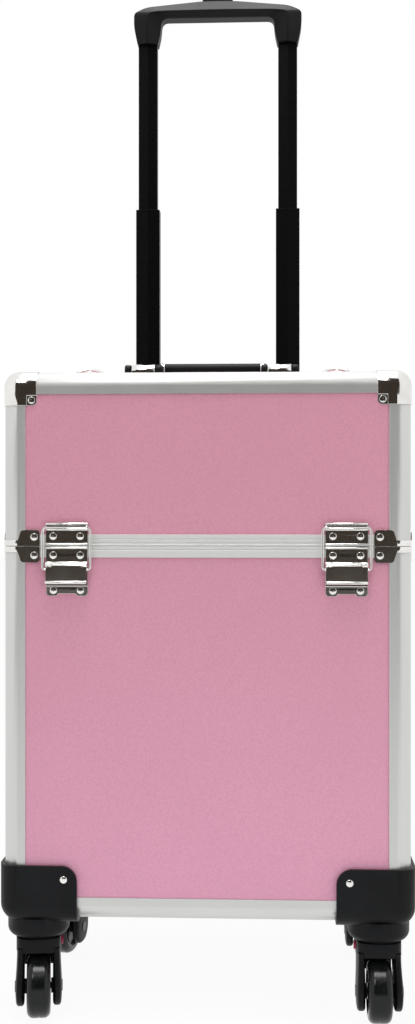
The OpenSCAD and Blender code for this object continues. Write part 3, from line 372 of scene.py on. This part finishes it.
# %% Dress the nodes
CORNERS = ("front_left", "front_right", "rear_left", "rear_right")
WELD_M, CREASE_DEG = 0.00001, 40
FINISH_OF = {
    film: ("front_panel", "back_panel", "side_panels", "floor_panel", "lid_wall_panels",
           "lid_top_panel"),
    post_metal: ("corner_posts", "lid_posts"),
    rail_metal: ("bottom_rails", "lid_top_rails"),
    rim_metal: ("tub_rim", "lid_rim"),
    felt: ("tub_liner", "lid_liner"),
    black_mould: ("foot_", "trolley_mounts", "trolley_grip", "fork_", "carry_handle",
                  "release_button"),
    black_paint: ("trolley_sleeves", "outer_tubes", "inner_tubes"),
    bright_metal: ("tub_corner_plates", "lid_corner_plates", "latch_bases", "catch_plates",
                   "ball_corners", "tub_fasteners", "lid_fasteners", "lid_brackets", "ring_",
                   "lever_", "loop_"),
    dark_steel: ("axle_",),
    steel: ("push_rods",),
    tread: ("wheel_",),
    red: ("unlock_",),
}
BEVEL_OF = {
    0.25: ("corner_posts", "lid_posts", "bottom_rails", "lid_top_rails", "tub_rim", "lid_rim"),
    0.3: ("latch_bases", "catch_plates", "lever_", "tub_corner_plates", "lid_corner_plates",
          "ball_corners", "axle_"),
    0.4: ("trolley_sleeves", "lid_brackets"),
    0.5: ("outer_tubes", "inner_tubes", "unlock_"),
    0.8: ("foot_", "trolley_mounts"),
    1.5: ("release_button",),
}


def named_like(table):
    """Each key of the table with every packed object whose name starts with one of its words."""
    for key, starts in table.items():
        for name, thing in frame["nodes"].items():
            if name.startswith(starts):
                yield key, thing


def break_edges(thing, width_mm):
    """A weld joins loose triangles; a bevel rounds edges that turn by more than CREASE_DEG."""
    thing.modifiers.new("weld", "WELD").merge_threshold = WELD_M
    bevel = thing.modifiers.new("bevel", "BEVEL")
    bevel.width = width_mm * MM
    bevel.segments = 2
    bevel.limit_method = "ANGLE"
    bevel.angle_limit = np.radians(CREASE_DEG)
    bevel.harden_normals = True


for finish, thing in named_like(FINISH_OF):
    thing.data.materials.clear()
    thing.data.materials.append(finish)
for width, thing in named_like(BEVEL_OF):
    break_edges(thing, width)
print("dressed", len(frame["nodes"]), "nodes")

# %% [markdown]
# ## Surfaces from rings
# The moulded pieces are rounder than their CAD stand-ins. Each new one is a stack of rings: a
# closed outline, drawn again and again along a path. The rings are one array, so neighbours join
# into quads by index, the two end rings get caps, and a merge closes any pole.

# %% Rings, outlines and rounded corners
AROUND, AROUND_TURNED = 48, 24
POLE_M = 0.000001


def solid(name, node, finish, shells, sharp=40, instead=True):
    """An object from closed shells (rings, points, 3) in mm, instead of a node or beside it."""
    points, faces, start = [], [], 0
    for rings in shells:
        count, around = rings.shape[:2]
        here = start + np.arange(count * around).reshape(count, around)
        after = np.roll(here, -1, axis=1)
        sides = np.stack([here[:-1], after[:-1], after[1:], here[1:]], axis=-1)
        faces += sides.reshape(-1, 4).tolist() + [here[0, ::-1].tolist(), here[-1].tolist()]
        points.append(rings.reshape(-1, 3) * MM)
        start += count * around
    mesh = bpy.data.meshes.new(name)
    mesh.from_pydata(np.concatenate(points).tolist(), [], faces)
    work = bmesh.new()
    work.from_mesh(mesh)
    bmesh.ops.remove_doubles(work, verts=work.verts, dist=POLE_M)
    bmesh.ops.recalc_face_normals(work, faces=work.faces)
    work.to_mesh(mesh)
    work.free()
    mesh.shade_smooth()
    mesh.set_sharp_from_angle(angle=np.radians(sharp))
    mesh.materials.append(finish)
    thing = bpy.data.objects.new(name, mesh)
    bpy.context.scene.collection.objects.link(thing)
    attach(thing, BODY_OF[node])
    if instead:
        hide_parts(node)
    print(name, len(mesh.vertices), "points")
    return thing


def block_ring(half_x, half_y, roundness):
    """Superellipse x = a sgn(c)|c|^p, y = b sgn(s)|s|^p: p = 1 is an ellipse, p = 0 a box."""
    turn = np.linspace(0, 2 * np.pi, AROUND, endpoint=False)
    c, s = np.cos(turn), np.sin(turn)
    x = np.sign(c) * np.abs(c) ** roundness
    y = np.sign(s) * np.abs(s) ** roundness
    return np.multiply.outer(half_x, x), np.multiply.outer(half_y, y)


def rounded_path(corners, radii, steps=9):
    """A polyline with each corner replaced by the curve (1-t)^2 p + 2t(1-t) corner + t^2 q."""
    corners = np.asarray(corners, float)
    t = np.linspace(0, 1, steps)[:, None]
    parts = []
    for before, corner, after, r in zip(corners[:-2], corners[1:-1], corners[2:], radii):
        p, q = (corner + r * (end - corner) / np.linalg.norm(end - corner)
                for end in (before, after))
        parts.append((1 - t) ** 2 * p + 2 * t * (1 - t) * corner + t ** 2 * q)
    return np.concatenate([corners[:1], *parts, corners[-1:]])


def end_inset(distance, r):
    """How far a rounded end has drawn in at a distance d from its tip: r - sqrt(r^2 - (r-d)^2)."""
    left = np.clip(r - distance, 0, r)
    return r - np.sqrt(r * r - left * left)


def ease(low, high, value):
    """0 up to low, 1 from high on, and t^2 (3 - 2t) between."""
    t = np.clip((value - low) / (high - low), 0, 1)
    return t * t * (3 - 2 * t)


def stack(x, y, z):
    """Rings (levels, points, 3) from flat rings at levels z."""
    return np.stack([x, y, np.broadcast_to(z[:, None], x.shape)], axis=-1)


def box_mm(node):
    """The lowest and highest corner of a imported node, as arrays in millimetres."""
    return [np.array(corner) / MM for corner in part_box(node)]


def joint(name):
    """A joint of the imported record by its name."""
    return next(j for j in frame["joints"] if j["name"] == name)


def joint_at(name):
    """The point that a joint turns about, in millimetres."""
    return np.array(joint(name)["pos_m"]) / MM


BODY_OF = {name: body_of(thing)[0] for name, thing in frame["nodes"].items()}

# %% [markdown]
# ## The trolley grip
# The grip is one moulding: two sockets that swell from the tubes, and a bar with a low hump for
# the button. Its front is folded along a crease, from the ridge of each tube into the bar. A box
# with bevels would lose that fold, so the section is a hexagon whose three edges (inner, crease,
# outer) each follow their own path. Half a path is given by how far each corner stands out from
# the tube's middle and how high it lies over the grip's base. It ends at the hump and is mirrored.

# %% Trolley grip
TUBE_HALF = 10
GRIP_BEVEL, GRIP_FOLD = 1.1, 16
GRIP_EDGES = {
    "inner": dict(corners=[(-10.9, 7.5), (-13.5, 18), (-15.1, 35), (-29.3, 35)], hump_z=35,
                  radii=(5, 7, 6, 6), socket_y=9.5, bar_y=8),
    "crease": dict(corners=[(0, 7.5), (0, 18), (0, 39), (-16.3, 40)], hump_z=40,
                   radii=(5, 7, 6, 6), socket_y=12.8, bar_y=17),
    "outer": dict(corners=[(10.9, 7.5), (14.7, 26), (14.7, 41), (1.7, 47)], hump_z=52.5,
                  radii=(6, 4, 6, 8), socket_y=9.5, bar_y=9),
}
BAR_LEVEL = 36
AROUND_GRIP = [("inner", -1), ("crease", -1), ("outer", -1),
               ("outer", 1), ("crease", 1), ("inner", 1)]

grip_low, grip_high = box_mm("trolley_grip")
tube_x = box_mm("inner_tubes")[1][0] - TUBE_HALF
hump_x = box_mm("release_button")[1][0]


def edge_path(edge):
    """One edge of the hexagon from the left end, through the middle, to the mirrored right end."""
    half = np.array([(tube_x + out, z) for out, z in edge["corners"]] + [(hump_x, edge["hump_z"])])
    corners = np.concatenate([half * (-1, 1), half[::-1]])
    return rounded_path(corners, edge["radii"] + edge["radii"][::-1])


def grip_rings():
    """Hexagon rings: an edge's y = +-(socket + (bar - socket) e(z)), with e easing from 0 to 1."""
    paths = {name: edge_path(edge) for name, edge in GRIP_EDGES.items()}
    rise = ease(0, BAR_LEVEL, paths["crease"][:, 1])
    rings = []
    for name, side in AROUND_GRIP:
        edge, path = GRIP_EDGES[name], paths[name]
        depth = edge["socket_y"] + (edge["bar_y"] - edge["socket_y"]) * rise
        rings.append(np.stack([path[:, 0], side * depth, path[:, 1]], axis=-1))
    return np.stack(rings, axis=1) + (0, (grip_low[1] + grip_high[1]) / 2, grip_low[2])


grip = solid("grip_moulding", "trolley_grip", black_mould, [grip_rings()], sharp=25)
grip_edges = grip.modifiers.new("bevel", "BEVEL")
grip_edges.width = GRIP_BEVEL * MM
grip_edges.segments = 3
grip_edges.angle_limit = np.radians(GRIP_FOLD)

# %% [markdown]
# ## The caster forks
# A fork is a squarish neck with two cheeks that swell round the axle, a bowed guard behind the
# wheel, and a round pad inside each cheek that keeps the wheel in the middle. A box and a cylinder
# would show flat sides and hard rims, which a mould never leaves. So neck and cheeks are stacks of
# superellipses, whose size and middle change with the height. Their sizes come from the front right
# caster, which rests straight. They are drawn about the swivel axis and turned to the angle at
# which each caster rests.

# %% Caster forks
SWIVEL_GAP, OVER_WHEEL, BESIDE_WHEEL = 0.4, 2.8, 2
CHEEK_OUT, CHEEK_TOP, CHEEK_SWELL = 19.4, 62, 1.3
END_R, NECK_R = 17, 19.4
GUARD_HALF, GUARD_T, GUARD_TOP, GUARD_H = 12.9, 1.5, 60, 22
GUARD_Y, GUARD_BOW = 13, 4.5
PAD_R, PAD_FACE_R = 6.6, 6.2
THIN = 0.05

wheel_low, wheel_high = box_mm("wheel_front_right")
fork_low, fork_high = box_mm("fork_front_right")
_, axle_y, axle_z = joint_at("wheel_front_right_roll")
trail = joint_at("caster_front_right_swivel")[1] - axle_y
cheek_in = (wheel_high - wheel_low)[0] / 2 + BESIDE_WHEEL
neck_half = (fork_high - fork_low)[0] / 2
neck_low = wheel_high[2] + OVER_WHEEL
neck_high = box_mm("foot_front_right")[0][2] - SWIVEL_GAP


def neck_rings(low, high):
    """Squarish rings of half side neck - 0.8 i(z - low) - i(high - z), with i the end's inset."""
    low_r, high_r = 1.5, 1
    z = np.concatenate([low + low_r * np.linspace(0, 1, 6) ** 2,
                        high - high_r * np.linspace(1, 0, 5) ** 2])
    half = neck_half - 0.8 * end_inset(z - low, low_r) - end_inset(high - z, high_r)
    return stack(*block_ring(half, half, 0.5), z)


def cheek_rings(side):
    """Flat oval rings: y = sqrt(R^2 - (a - z)^2) below the axle a, easing to the neck above it.

    Outside they swell round the axle: x = out + swell exp(-((z - a) / R)^2).
    """
    low = axle_z - END_R
    z = np.concatenate([low + END_R * (1 - np.cos(np.linspace(0, np.pi / 2, 20))),
                        np.linspace(axle_z + 0.5, CHEEK_TOP, 18)])
    up = ease(axle_z, CHEEK_TOP - 2, z)
    below = np.clip(axle_z - z, 0, END_R)
    half_y = np.where(z < axle_z, np.sqrt(END_R ** 2 - below ** 2), END_R + up * (NECK_R - END_R))
    outside = CHEEK_OUT + CHEEK_SWELL * np.exp(-((z - axle_z) / END_R) ** 2)
    half_x = (outside - cheek_in) / 2 - 0.6 * end_inset(z - low, 5)
    x, y = block_ring(np.maximum(half_x, THIN), np.maximum(half_y, THIN), 0.55)
    middle = (cheek_in + outside) / 2
    return stack(side * (x + middle[:, None]), y - (trail * (1 - up))[:, None], z)


def guard_rings():
    """A thin guard behind the wheel, bowed back from the neck: y = start + bow t^0.7."""
    t = np.linspace(1, 0, 9)
    x, y = block_ring(np.full(t.shape, GUARD_HALF), np.full(t.shape, GUARD_T), 0.3)
    return stack(x, y + (GUARD_Y + GUARD_BOW * t ** 0.7)[:, None], GUARD_TOP - GUARD_H * t)


def pad_rings(side):
    """A round pad on the cheek's inner face: (x, r cos a - trail, r sin a + axle) for three r."""
    turn = np.linspace(0, 2 * np.pi, AROUND_TURNED, endpoint=False)
    r = np.array([PAD_R, PAD_R, PAD_FACE_R])[:, None]
    x = cheek_in + np.array([0.5, -1.3, -1.6])[:, None] + 0 * turn
    return np.stack([side * x, r * np.cos(turn) - trail, r * np.sin(turn) + axle_z], axis=-1)


def set_on_swivel(shell, corner):
    """Rings drawn about the swivel axis, turned to the angle at which this caster rests."""
    c, s, _ = joint("wheel_%s_roll" % corner)["axis"]
    x, y, _ = joint_at("caster_%s_swivel" % corner)
    turn = np.array([[c, -s, 0], [s, c, 0], [0, 0, 1]])
    return shell @ turn.T + (x, y, 0)


fork_shells = [neck_rings(neck_low, neck_high), guard_rings()]
fork_shells += [rings(side) for rings in (cheek_rings, pad_rings) for side in (-1, 1)]
for corner in CORNERS:
    solid("fork_moulding_" + corner, "fork_" + corner, black_mould,
          [set_on_swivel(shell, corner) for shell in fork_shells], sharp=50)

# %% [markdown]
# ## The carry handle
# The handle is a rounded black bail that lies back on the lid: a bar, two arms, and collars that
# turn on the brackets. Its bar ends in two chrome ferrules, short bright rings over the same bar.
# A bent tube would be rounder than the moulding is, so the sections are soft squares.

# %% Carry handle
ROD_R, ARM_X, BAR_END = 6.5, 50.4, 53.6
INNER_COLLAR, OUTER_COLLAR = 6.3, 6.4
REACH, LIFT = 27, 4
FERRULE_R, FERRULE_HALF, FERRULE_X = 7.2, 2, 48.4

pivot = joint_at("handle_raise")
handle_end = box_mm("carry_handle")[1][0]
collars = ((BAR_END - INNER_COLLAR, BAR_END), (handle_end - OUTER_COLLAR, handle_end))
bar_at = np.array([0, REACH, LIFT])


def along_x(low, high, half_y, half_z, roundness, end_r):
    """A bar along x: superellipse rings (y, z) that draw in by the end's inset at both ends."""
    reach = np.linspace(0, 1, 6) ** 2 * end_r
    x = np.concatenate([low + reach, high - reach[::-1]])
    draw = end_inset(np.minimum(x - low, high - x), end_r)
    y, z = block_ring(half_y - draw, half_z - draw, roundness)
    return np.stack([np.broadcast_to(x[:, None], y.shape), y, z], axis=-1)


def arm_rings(x, reach, lift, half_x, half_z):
    """An arm from the pivot to the bar: superellipses (x, z), moved by t (reach, lift)."""
    t = np.linspace(0, 1, 8)
    across, up = block_ring(np.full(t.shape, half_x), np.full(t.shape, half_z), 0.6)
    return np.stack([across + x, np.broadcast_to((t * reach)[:, None], up.shape),
                     up + (t * lift)[:, None]], axis=-1)


handle_shells = [along_x(-BAR_END, BAR_END, ROD_R, ROD_R, 0.8, 3) + bar_at]
for side in (-1, 1):
    handle_shells.append(arm_rings(side * ARM_X, REACH, LIFT, 3.2, 6.2))
    for inner, outer in collars:
        handle_shells.append(along_x(inner, outer, ROD_R, ROD_R, 0.7, 1.6) * (side, 1, 1))
solid("handle_bail", "carry_handle", black_mould,
      [shell + pivot for shell in handle_shells], sharp=50)
ferrule = along_x(-FERRULE_HALF, FERRULE_HALF, FERRULE_R, FERRULE_R, 0.85, 0.8) + bar_at + pivot
solid("handle_ferrules", "carry_handle", bright_metal,
      [ferrule + (side * FERRULE_X, 0, 0) for side in (-1, 1)], instead=False)

# %% [markdown]
# ## Rivets and screws
# The latches, seam plates and lid corners are held by hollow rivets: a shallow ring round a dark
# hole. The feet have domed screws. Both are a profile turned about an axis, set wherever the packed
# fasteners have a head. How round a head is decides what it mirrors: a shallow one is dark above
# and white below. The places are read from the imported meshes, island by island.

# %% Fasteners
HEAD_R, HEAD_TOP, HOLE_R, HOLE_FLOOR = 3.2, 1.0, 0.85, 0.2
RIVET_CURVE, DOME_CURVE = 15.0, 8.0
PIN_LENGTH, RIVET_REACH = 20, 50


def head_profile(inner, curve):
    """(r, h) of a shallow head h = top - c + sqrt(c^2 - r^2), out to a blunt edge."""
    r = np.linspace(inner, HEAD_R - 0.1, 8)
    h = HEAD_TOP - curve + np.sqrt(curve ** 2 - r ** 2)
    edge = [(HEAD_R, h[-1] - 0.12), (HEAD_R, -0.2)]
    return np.vstack([np.column_stack([r, h]), edge])


HOLE = [(0, HOLE_FLOOR), (HOLE_R * 0.9, HOLE_FLOOR)]
HOLLOW = np.vstack([HOLE, head_profile(HOLE_R, RIVET_CURVE)])
DOMED = head_profile(0.0, DOME_CURVE)


def islands(node):
    """Boxes (count, 2, 3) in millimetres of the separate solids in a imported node."""
    mesh = frame["nodes"][node].data
    points = np.empty(len(mesh.vertices) * 3)
    mesh.vertices.foreach_get("co", points)
    ends = np.empty(len(mesh.edges) * 2, int)
    mesh.edges.foreach_get("vertices", ends)
    places, same = np.unique(points.reshape(-1, 3).round(7), axis=0, return_inverse=True)
    a, b = same.ravel()[ends.reshape(-1, 2)].T
    label, before = np.arange(len(places)), None
    while before is None or (label != before).any():
        before = label.copy()
        least = np.minimum(label[a], label[b])
        np.minimum.at(label, a, least)
        np.minimum.at(label, b, least)
    groups = (places[label == k] for k in np.unique(label))
    return np.array([[group.min(0), group.max(0)] for group in groups]) / MM


def turned(profile, base, outward):
    """A profile (r, h) turned about an axis: base + r (u cos a + v sin a) + h outward."""
    u = np.roll(outward, 1)
    v = np.cross(outward, u)
    turn = np.linspace(0, 2 * np.pi, AROUND_TURNED, endpoint=False)[:, None]
    circle = np.cos(turn) * u + np.sin(turn) * v
    return profile[:, :1, None] * circle + profile[:, 1:, None] * outward + base


def fastener_shells(node):
    """A hollow rivet on the lid and latches, a domed screw elsewhere, a pin for a long island."""
    shells = []
    for low, high in islands(node):
        size, centre = high - low, (low + high) / 2
        if size.max() > PIN_LENGTH:
            pin = along_x(low[0], high[0], size[1] / 2, size[2] / 2, 1.0, 0.3)
            shells.append(pin + centre * (0, 1, 1))
            continue
        axis = int(np.argmin(size))
        outward = np.zeros(3)
        outward[axis] = np.sign(centre[axis] - case_middle[axis])
        tip = centre + outward * size[axis] / 2
        riveted = centre[2] > seam_z - RIVET_REACH and axis < 2
        shells.append(turned(HOLLOW if riveted else DOMED, tip - outward, outward))
    return shells


seam_z = box_mm("lid_rim")[0][2]
case_low, case_high = box_mm("corner_posts")
case_middle = (case_low + case_high) / 2
for node in ("tub_fasteners", "lid_fasteners"):
    solid(node + "_bright", node, bright_metal, fastener_shells(node), sharp=60)

# %% [markdown]
# ## Rolled and pressed latch edges
# A latch is pressed from thin plate. Its edges are rolled, so they show as bright lines across the
# dark plates: one on each side of the seam, one along the lever under its pin. The wire loop is
# pressed flat in front, where it bears on the hook, which draws a dark line between two bright
# ones. Each edge is a short bar that rides its own plate, lever or loop.

# %% Latch edges
ROLL_R, ROLL_PROUD, ROLL_UP, ROLL_DOWN = 1.0, 1.2, 1.4, 1.6
FLAT_DEEP, FLAT_TALL, FLAT_BACK, FLAT_DROP = 0.95, 0.8, 0.85, 0.6
LEVER_ROLL_R, LEVER_ROLL_BACK, LEVER_ROLL_DROP = 0.9, 0.3, 2.7
PIN_TO_FACE, SHORT_OF_PLATE = 2.5, 1

plate_half = box_mm("latch_bases")[1][0] - joint_at("latch_front_right_open")[0]
bar_half = plate_half - SHORT_OF_PLATE


def facing(corner):
    """-1 for a latch on the front, 1 for one on the back."""
    return -1 if corner.startswith("front") else 1


def plate_edges(z):
    """A bead across each of the four latches at one height on the case's walls."""
    shells = []
    for corner in CORNERS:
        low, high = box_mm("lever_" + corner)
        wall = case_low[1] if facing(corner) < 0 else case_high[1]
        bead = along_x(-plate_half, plate_half, ROLL_R, ROLL_R, 1.0, 0.4)
        shells.append(bead + ((low[0] + high[0]) / 2, wall + facing(corner) * ROLL_PROUD, z))
    return shells


def pressed_bar(corner):
    """The loop's top wire, pressed flat in front: a square-edged bar on the wire's upper half."""
    low, high = box_mm("loop_" + corner)
    out = facing(corner)
    front = low[1] if out < 0 else high[1]
    bar = along_x(-bar_half, bar_half, FLAT_DEEP, FLAT_TALL, 0.05, 0.1)
    return bar + ((low[0] + high[0]) / 2, front - out * FLAT_BACK, high[2] - FLAT_DROP)


def lever_roll(corner):
    """The lever's rolled upper edge, a bead along its face just under the hinge pin."""
    low, high = box_mm("lever_" + corner)
    out = facing(corner)
    face = joint_at("latch_%s_open" % corner)[1] + out * PIN_TO_FACE
    bead = along_x(-bar_half, bar_half, LEVER_ROLL_R, LEVER_ROLL_R, 1.0, 0.4)
    return bead + ((low[0] + high[0]) / 2, face - out * LEVER_ROLL_BACK, high[2] - LEVER_ROLL_DROP)


solid("base_edges", "latch_bases", bright_metal, plate_edges(seam_z - ROLL_DOWN),
      instead=False)
solid("catch_edges", "catch_plates", bright_metal, plate_edges(seam_z + ROLL_UP),
      instead=False)
for corner in CORNERS:
    solid("loop_flat_" + corner, "loop_" + corner, bright_metal, [pressed_bar(corner)],
          instead=False)
    solid("lever_roll_" + corner, "lever_" + corner, bright_metal, [lever_roll(corner)],
          instead=False)

# %% [markdown]
# ## Studio
# The room is white paper all round. A key lamp from the upper left and a fill from the right light
# the front, a top lamp and one over the back brighten the rails and tubes, and a small cool lamp
# low in front lifts the lower boards, as a white floor does. A dark screen behind the camera gives
# the chrome something to mirror, as a photographer's flag does.

# %% Floor, screens and lamps
FLOOR_SIZE = 30.0
ROOM_LIGHT = 0.55
PAPER, PAPER_SHOWN = (0.85, 0.85, 0.85, 1), 0.94
DARK_CARD = (0.045, 0.036, 0.028)
COOL = (0.55, 0.75, 1.0)


def ray_is_seen(wire):
    """1 for rays that show the background: from the camera, off gloss or through glass."""
    rays = wire.tree.nodes.new("ShaderNodeLightPath")
    camera_ray, glossy, through = (Wire(wire.tree, rays.outputs[name]) for name in (
        "Is Camera Ray", "Is Glossy Ray", "Is Transmission Ray"))
    return wire.math("MINIMUM", camera_ray + glossy + through, 1.0)


def white_room():
    """A world that shows as plain white and lights the object at a plain level."""
    world = bpy.data.worlds.new("room")
    world.use_nodes = True
    bpy.context.scene.world = world
    background = world.node_tree.nodes["Background"]
    background.inputs["Color"].default_value = (1, 1, 1, 1)
    wire = Wire(world.node_tree, background.outputs[0])
    (ray_is_seen(wire) * (1 - ROOM_LIGHT) + ROOM_LIGHT).feeds(background, "Strength")


def plane(name, centre, across, up):
    """A flat card: centre plus and minus the two half-side vectors."""
    centre, across, up = (np.array(v, float) for v in (centre, across, up))
    corners = [centre - across - up, centre + across - up,
               centre + across + up, centre - across + up]
    mesh = bpy.data.meshes.new(name)
    mesh.from_pydata([tuple(c) for c in corners], [], [(0, 1, 2, 3)])
    card = bpy.data.objects.new(name, mesh)
    bpy.context.scene.collection.objects.link(card)
    return card


def glow(name, colour):
    """A card's plain light, the same from every side."""
    material = bpy.data.materials.new(name)
    material.use_nodes = True
    tree = material.node_tree
    tree.nodes.clear()
    out = tree.nodes.new("ShaderNodeOutputMaterial")
    emission = tree.nodes.new("ShaderNodeEmission")
    emission.inputs["Color"].default_value = (*colour, 1)
    tree.links.new(emission.outputs[0], out.inputs["Surface"])
    return material


def paper_floor():
    """Pale paper: seen as near white with the object's shadow, and plain diffuse to the light."""
    material = bpy.data.materials.new("paper")
    material.use_nodes = True
    tree = material.node_tree
    tree.nodes.clear()
    out = tree.nodes.new("ShaderNodeOutputMaterial")
    paper = tree.nodes.new("ShaderNodeBsdfDiffuse")
    paper.inputs["Color"].default_value = PAPER
    white = tree.nodes.new("ShaderNodeEmission")
    mix = tree.nodes.new("ShaderNodeMixShader")
    wire = Wire(tree, white.outputs[0])
    (ray_is_seen(wire) * PAPER_SHOWN).feeds(mix, "Fac")
    tree.links.new(paper.outputs[0], mix.inputs[1])
    tree.links.new(white.outputs[0], mix.inputs[2])
    tree.links.new(mix.outputs[0], out.inputs["Surface"])
    floor = plane("floor", (0, 0, 0), (FLOOR_SIZE / 2, 0, 0), (0, FLOOR_SIZE / 2, 0))
    floor.data.materials.append(material)


def screen(name, centre, across, up, colour):
    """A card that only reflections see."""
    card = plane(name, centre, across, up)
    card.data.materials.append(glow(name, colour))
    card.visible_camera = False
    card.visible_diffuse = False
    card.visible_shadow = False


def lamp(name, at, aim, size, watts, colour=(1, 1, 1)):
    """A square soft lamp at a point, turned to shine at another."""
    data = bpy.data.lights.new(name, "AREA")
    data.shape = "SQUARE"
    data.size = size
    data.energy = watts
    data.color = colour
    light = bpy.data.objects.new(name, data)
    light.location = at
    light.rotation_euler = (Vector(aim) - Vector(at)).to_track_quat("-Z", "Y").to_euler()
    bpy.context.scene.collection.objects.link(light)
    return light


white_room()
paper_floor()
screen("dark_screen", centre=(-0.1, -2.6, 1.9), across=(1.3, 0, 0), up=(0, 0, 1.73),
       colour=DARK_CARD)
lamp("key", at=(-0.5, -1.9, 2.3), aim=(0, 0, 0.45), size=0.8, watts=13)
fill = lamp("fill", at=(1.5, -1.6, 1.2), aim=(0, 0, 0.45), size=1.2, watts=10)
fill.visible_glossy = False
low_lamp = lamp("low", at=(0, -0.45, 0.09), aim=(0, -0.13, 0.2), size=0.6, watts=0.58, colour=COOL)
low_lamp.data.shape, low_lamp.data.size_y = "RECTANGLE", 0.15
low_lamp.visible_glossy = low_lamp.visible_camera = False
lamp("top", at=(0, -0.55, 2.4), aim=(0, -0.1, 0.3), size=0.8, watts=20)
lamp("hair", at=(0, 0.12, 1.9), aim=(0, 0.12, 1.0), size=0.7, watts=9)
print("studio set")

# %% [markdown]
# ## The end
# The view layer is brought up to date.

# %% Finish
bpy.context.view_layer.update()
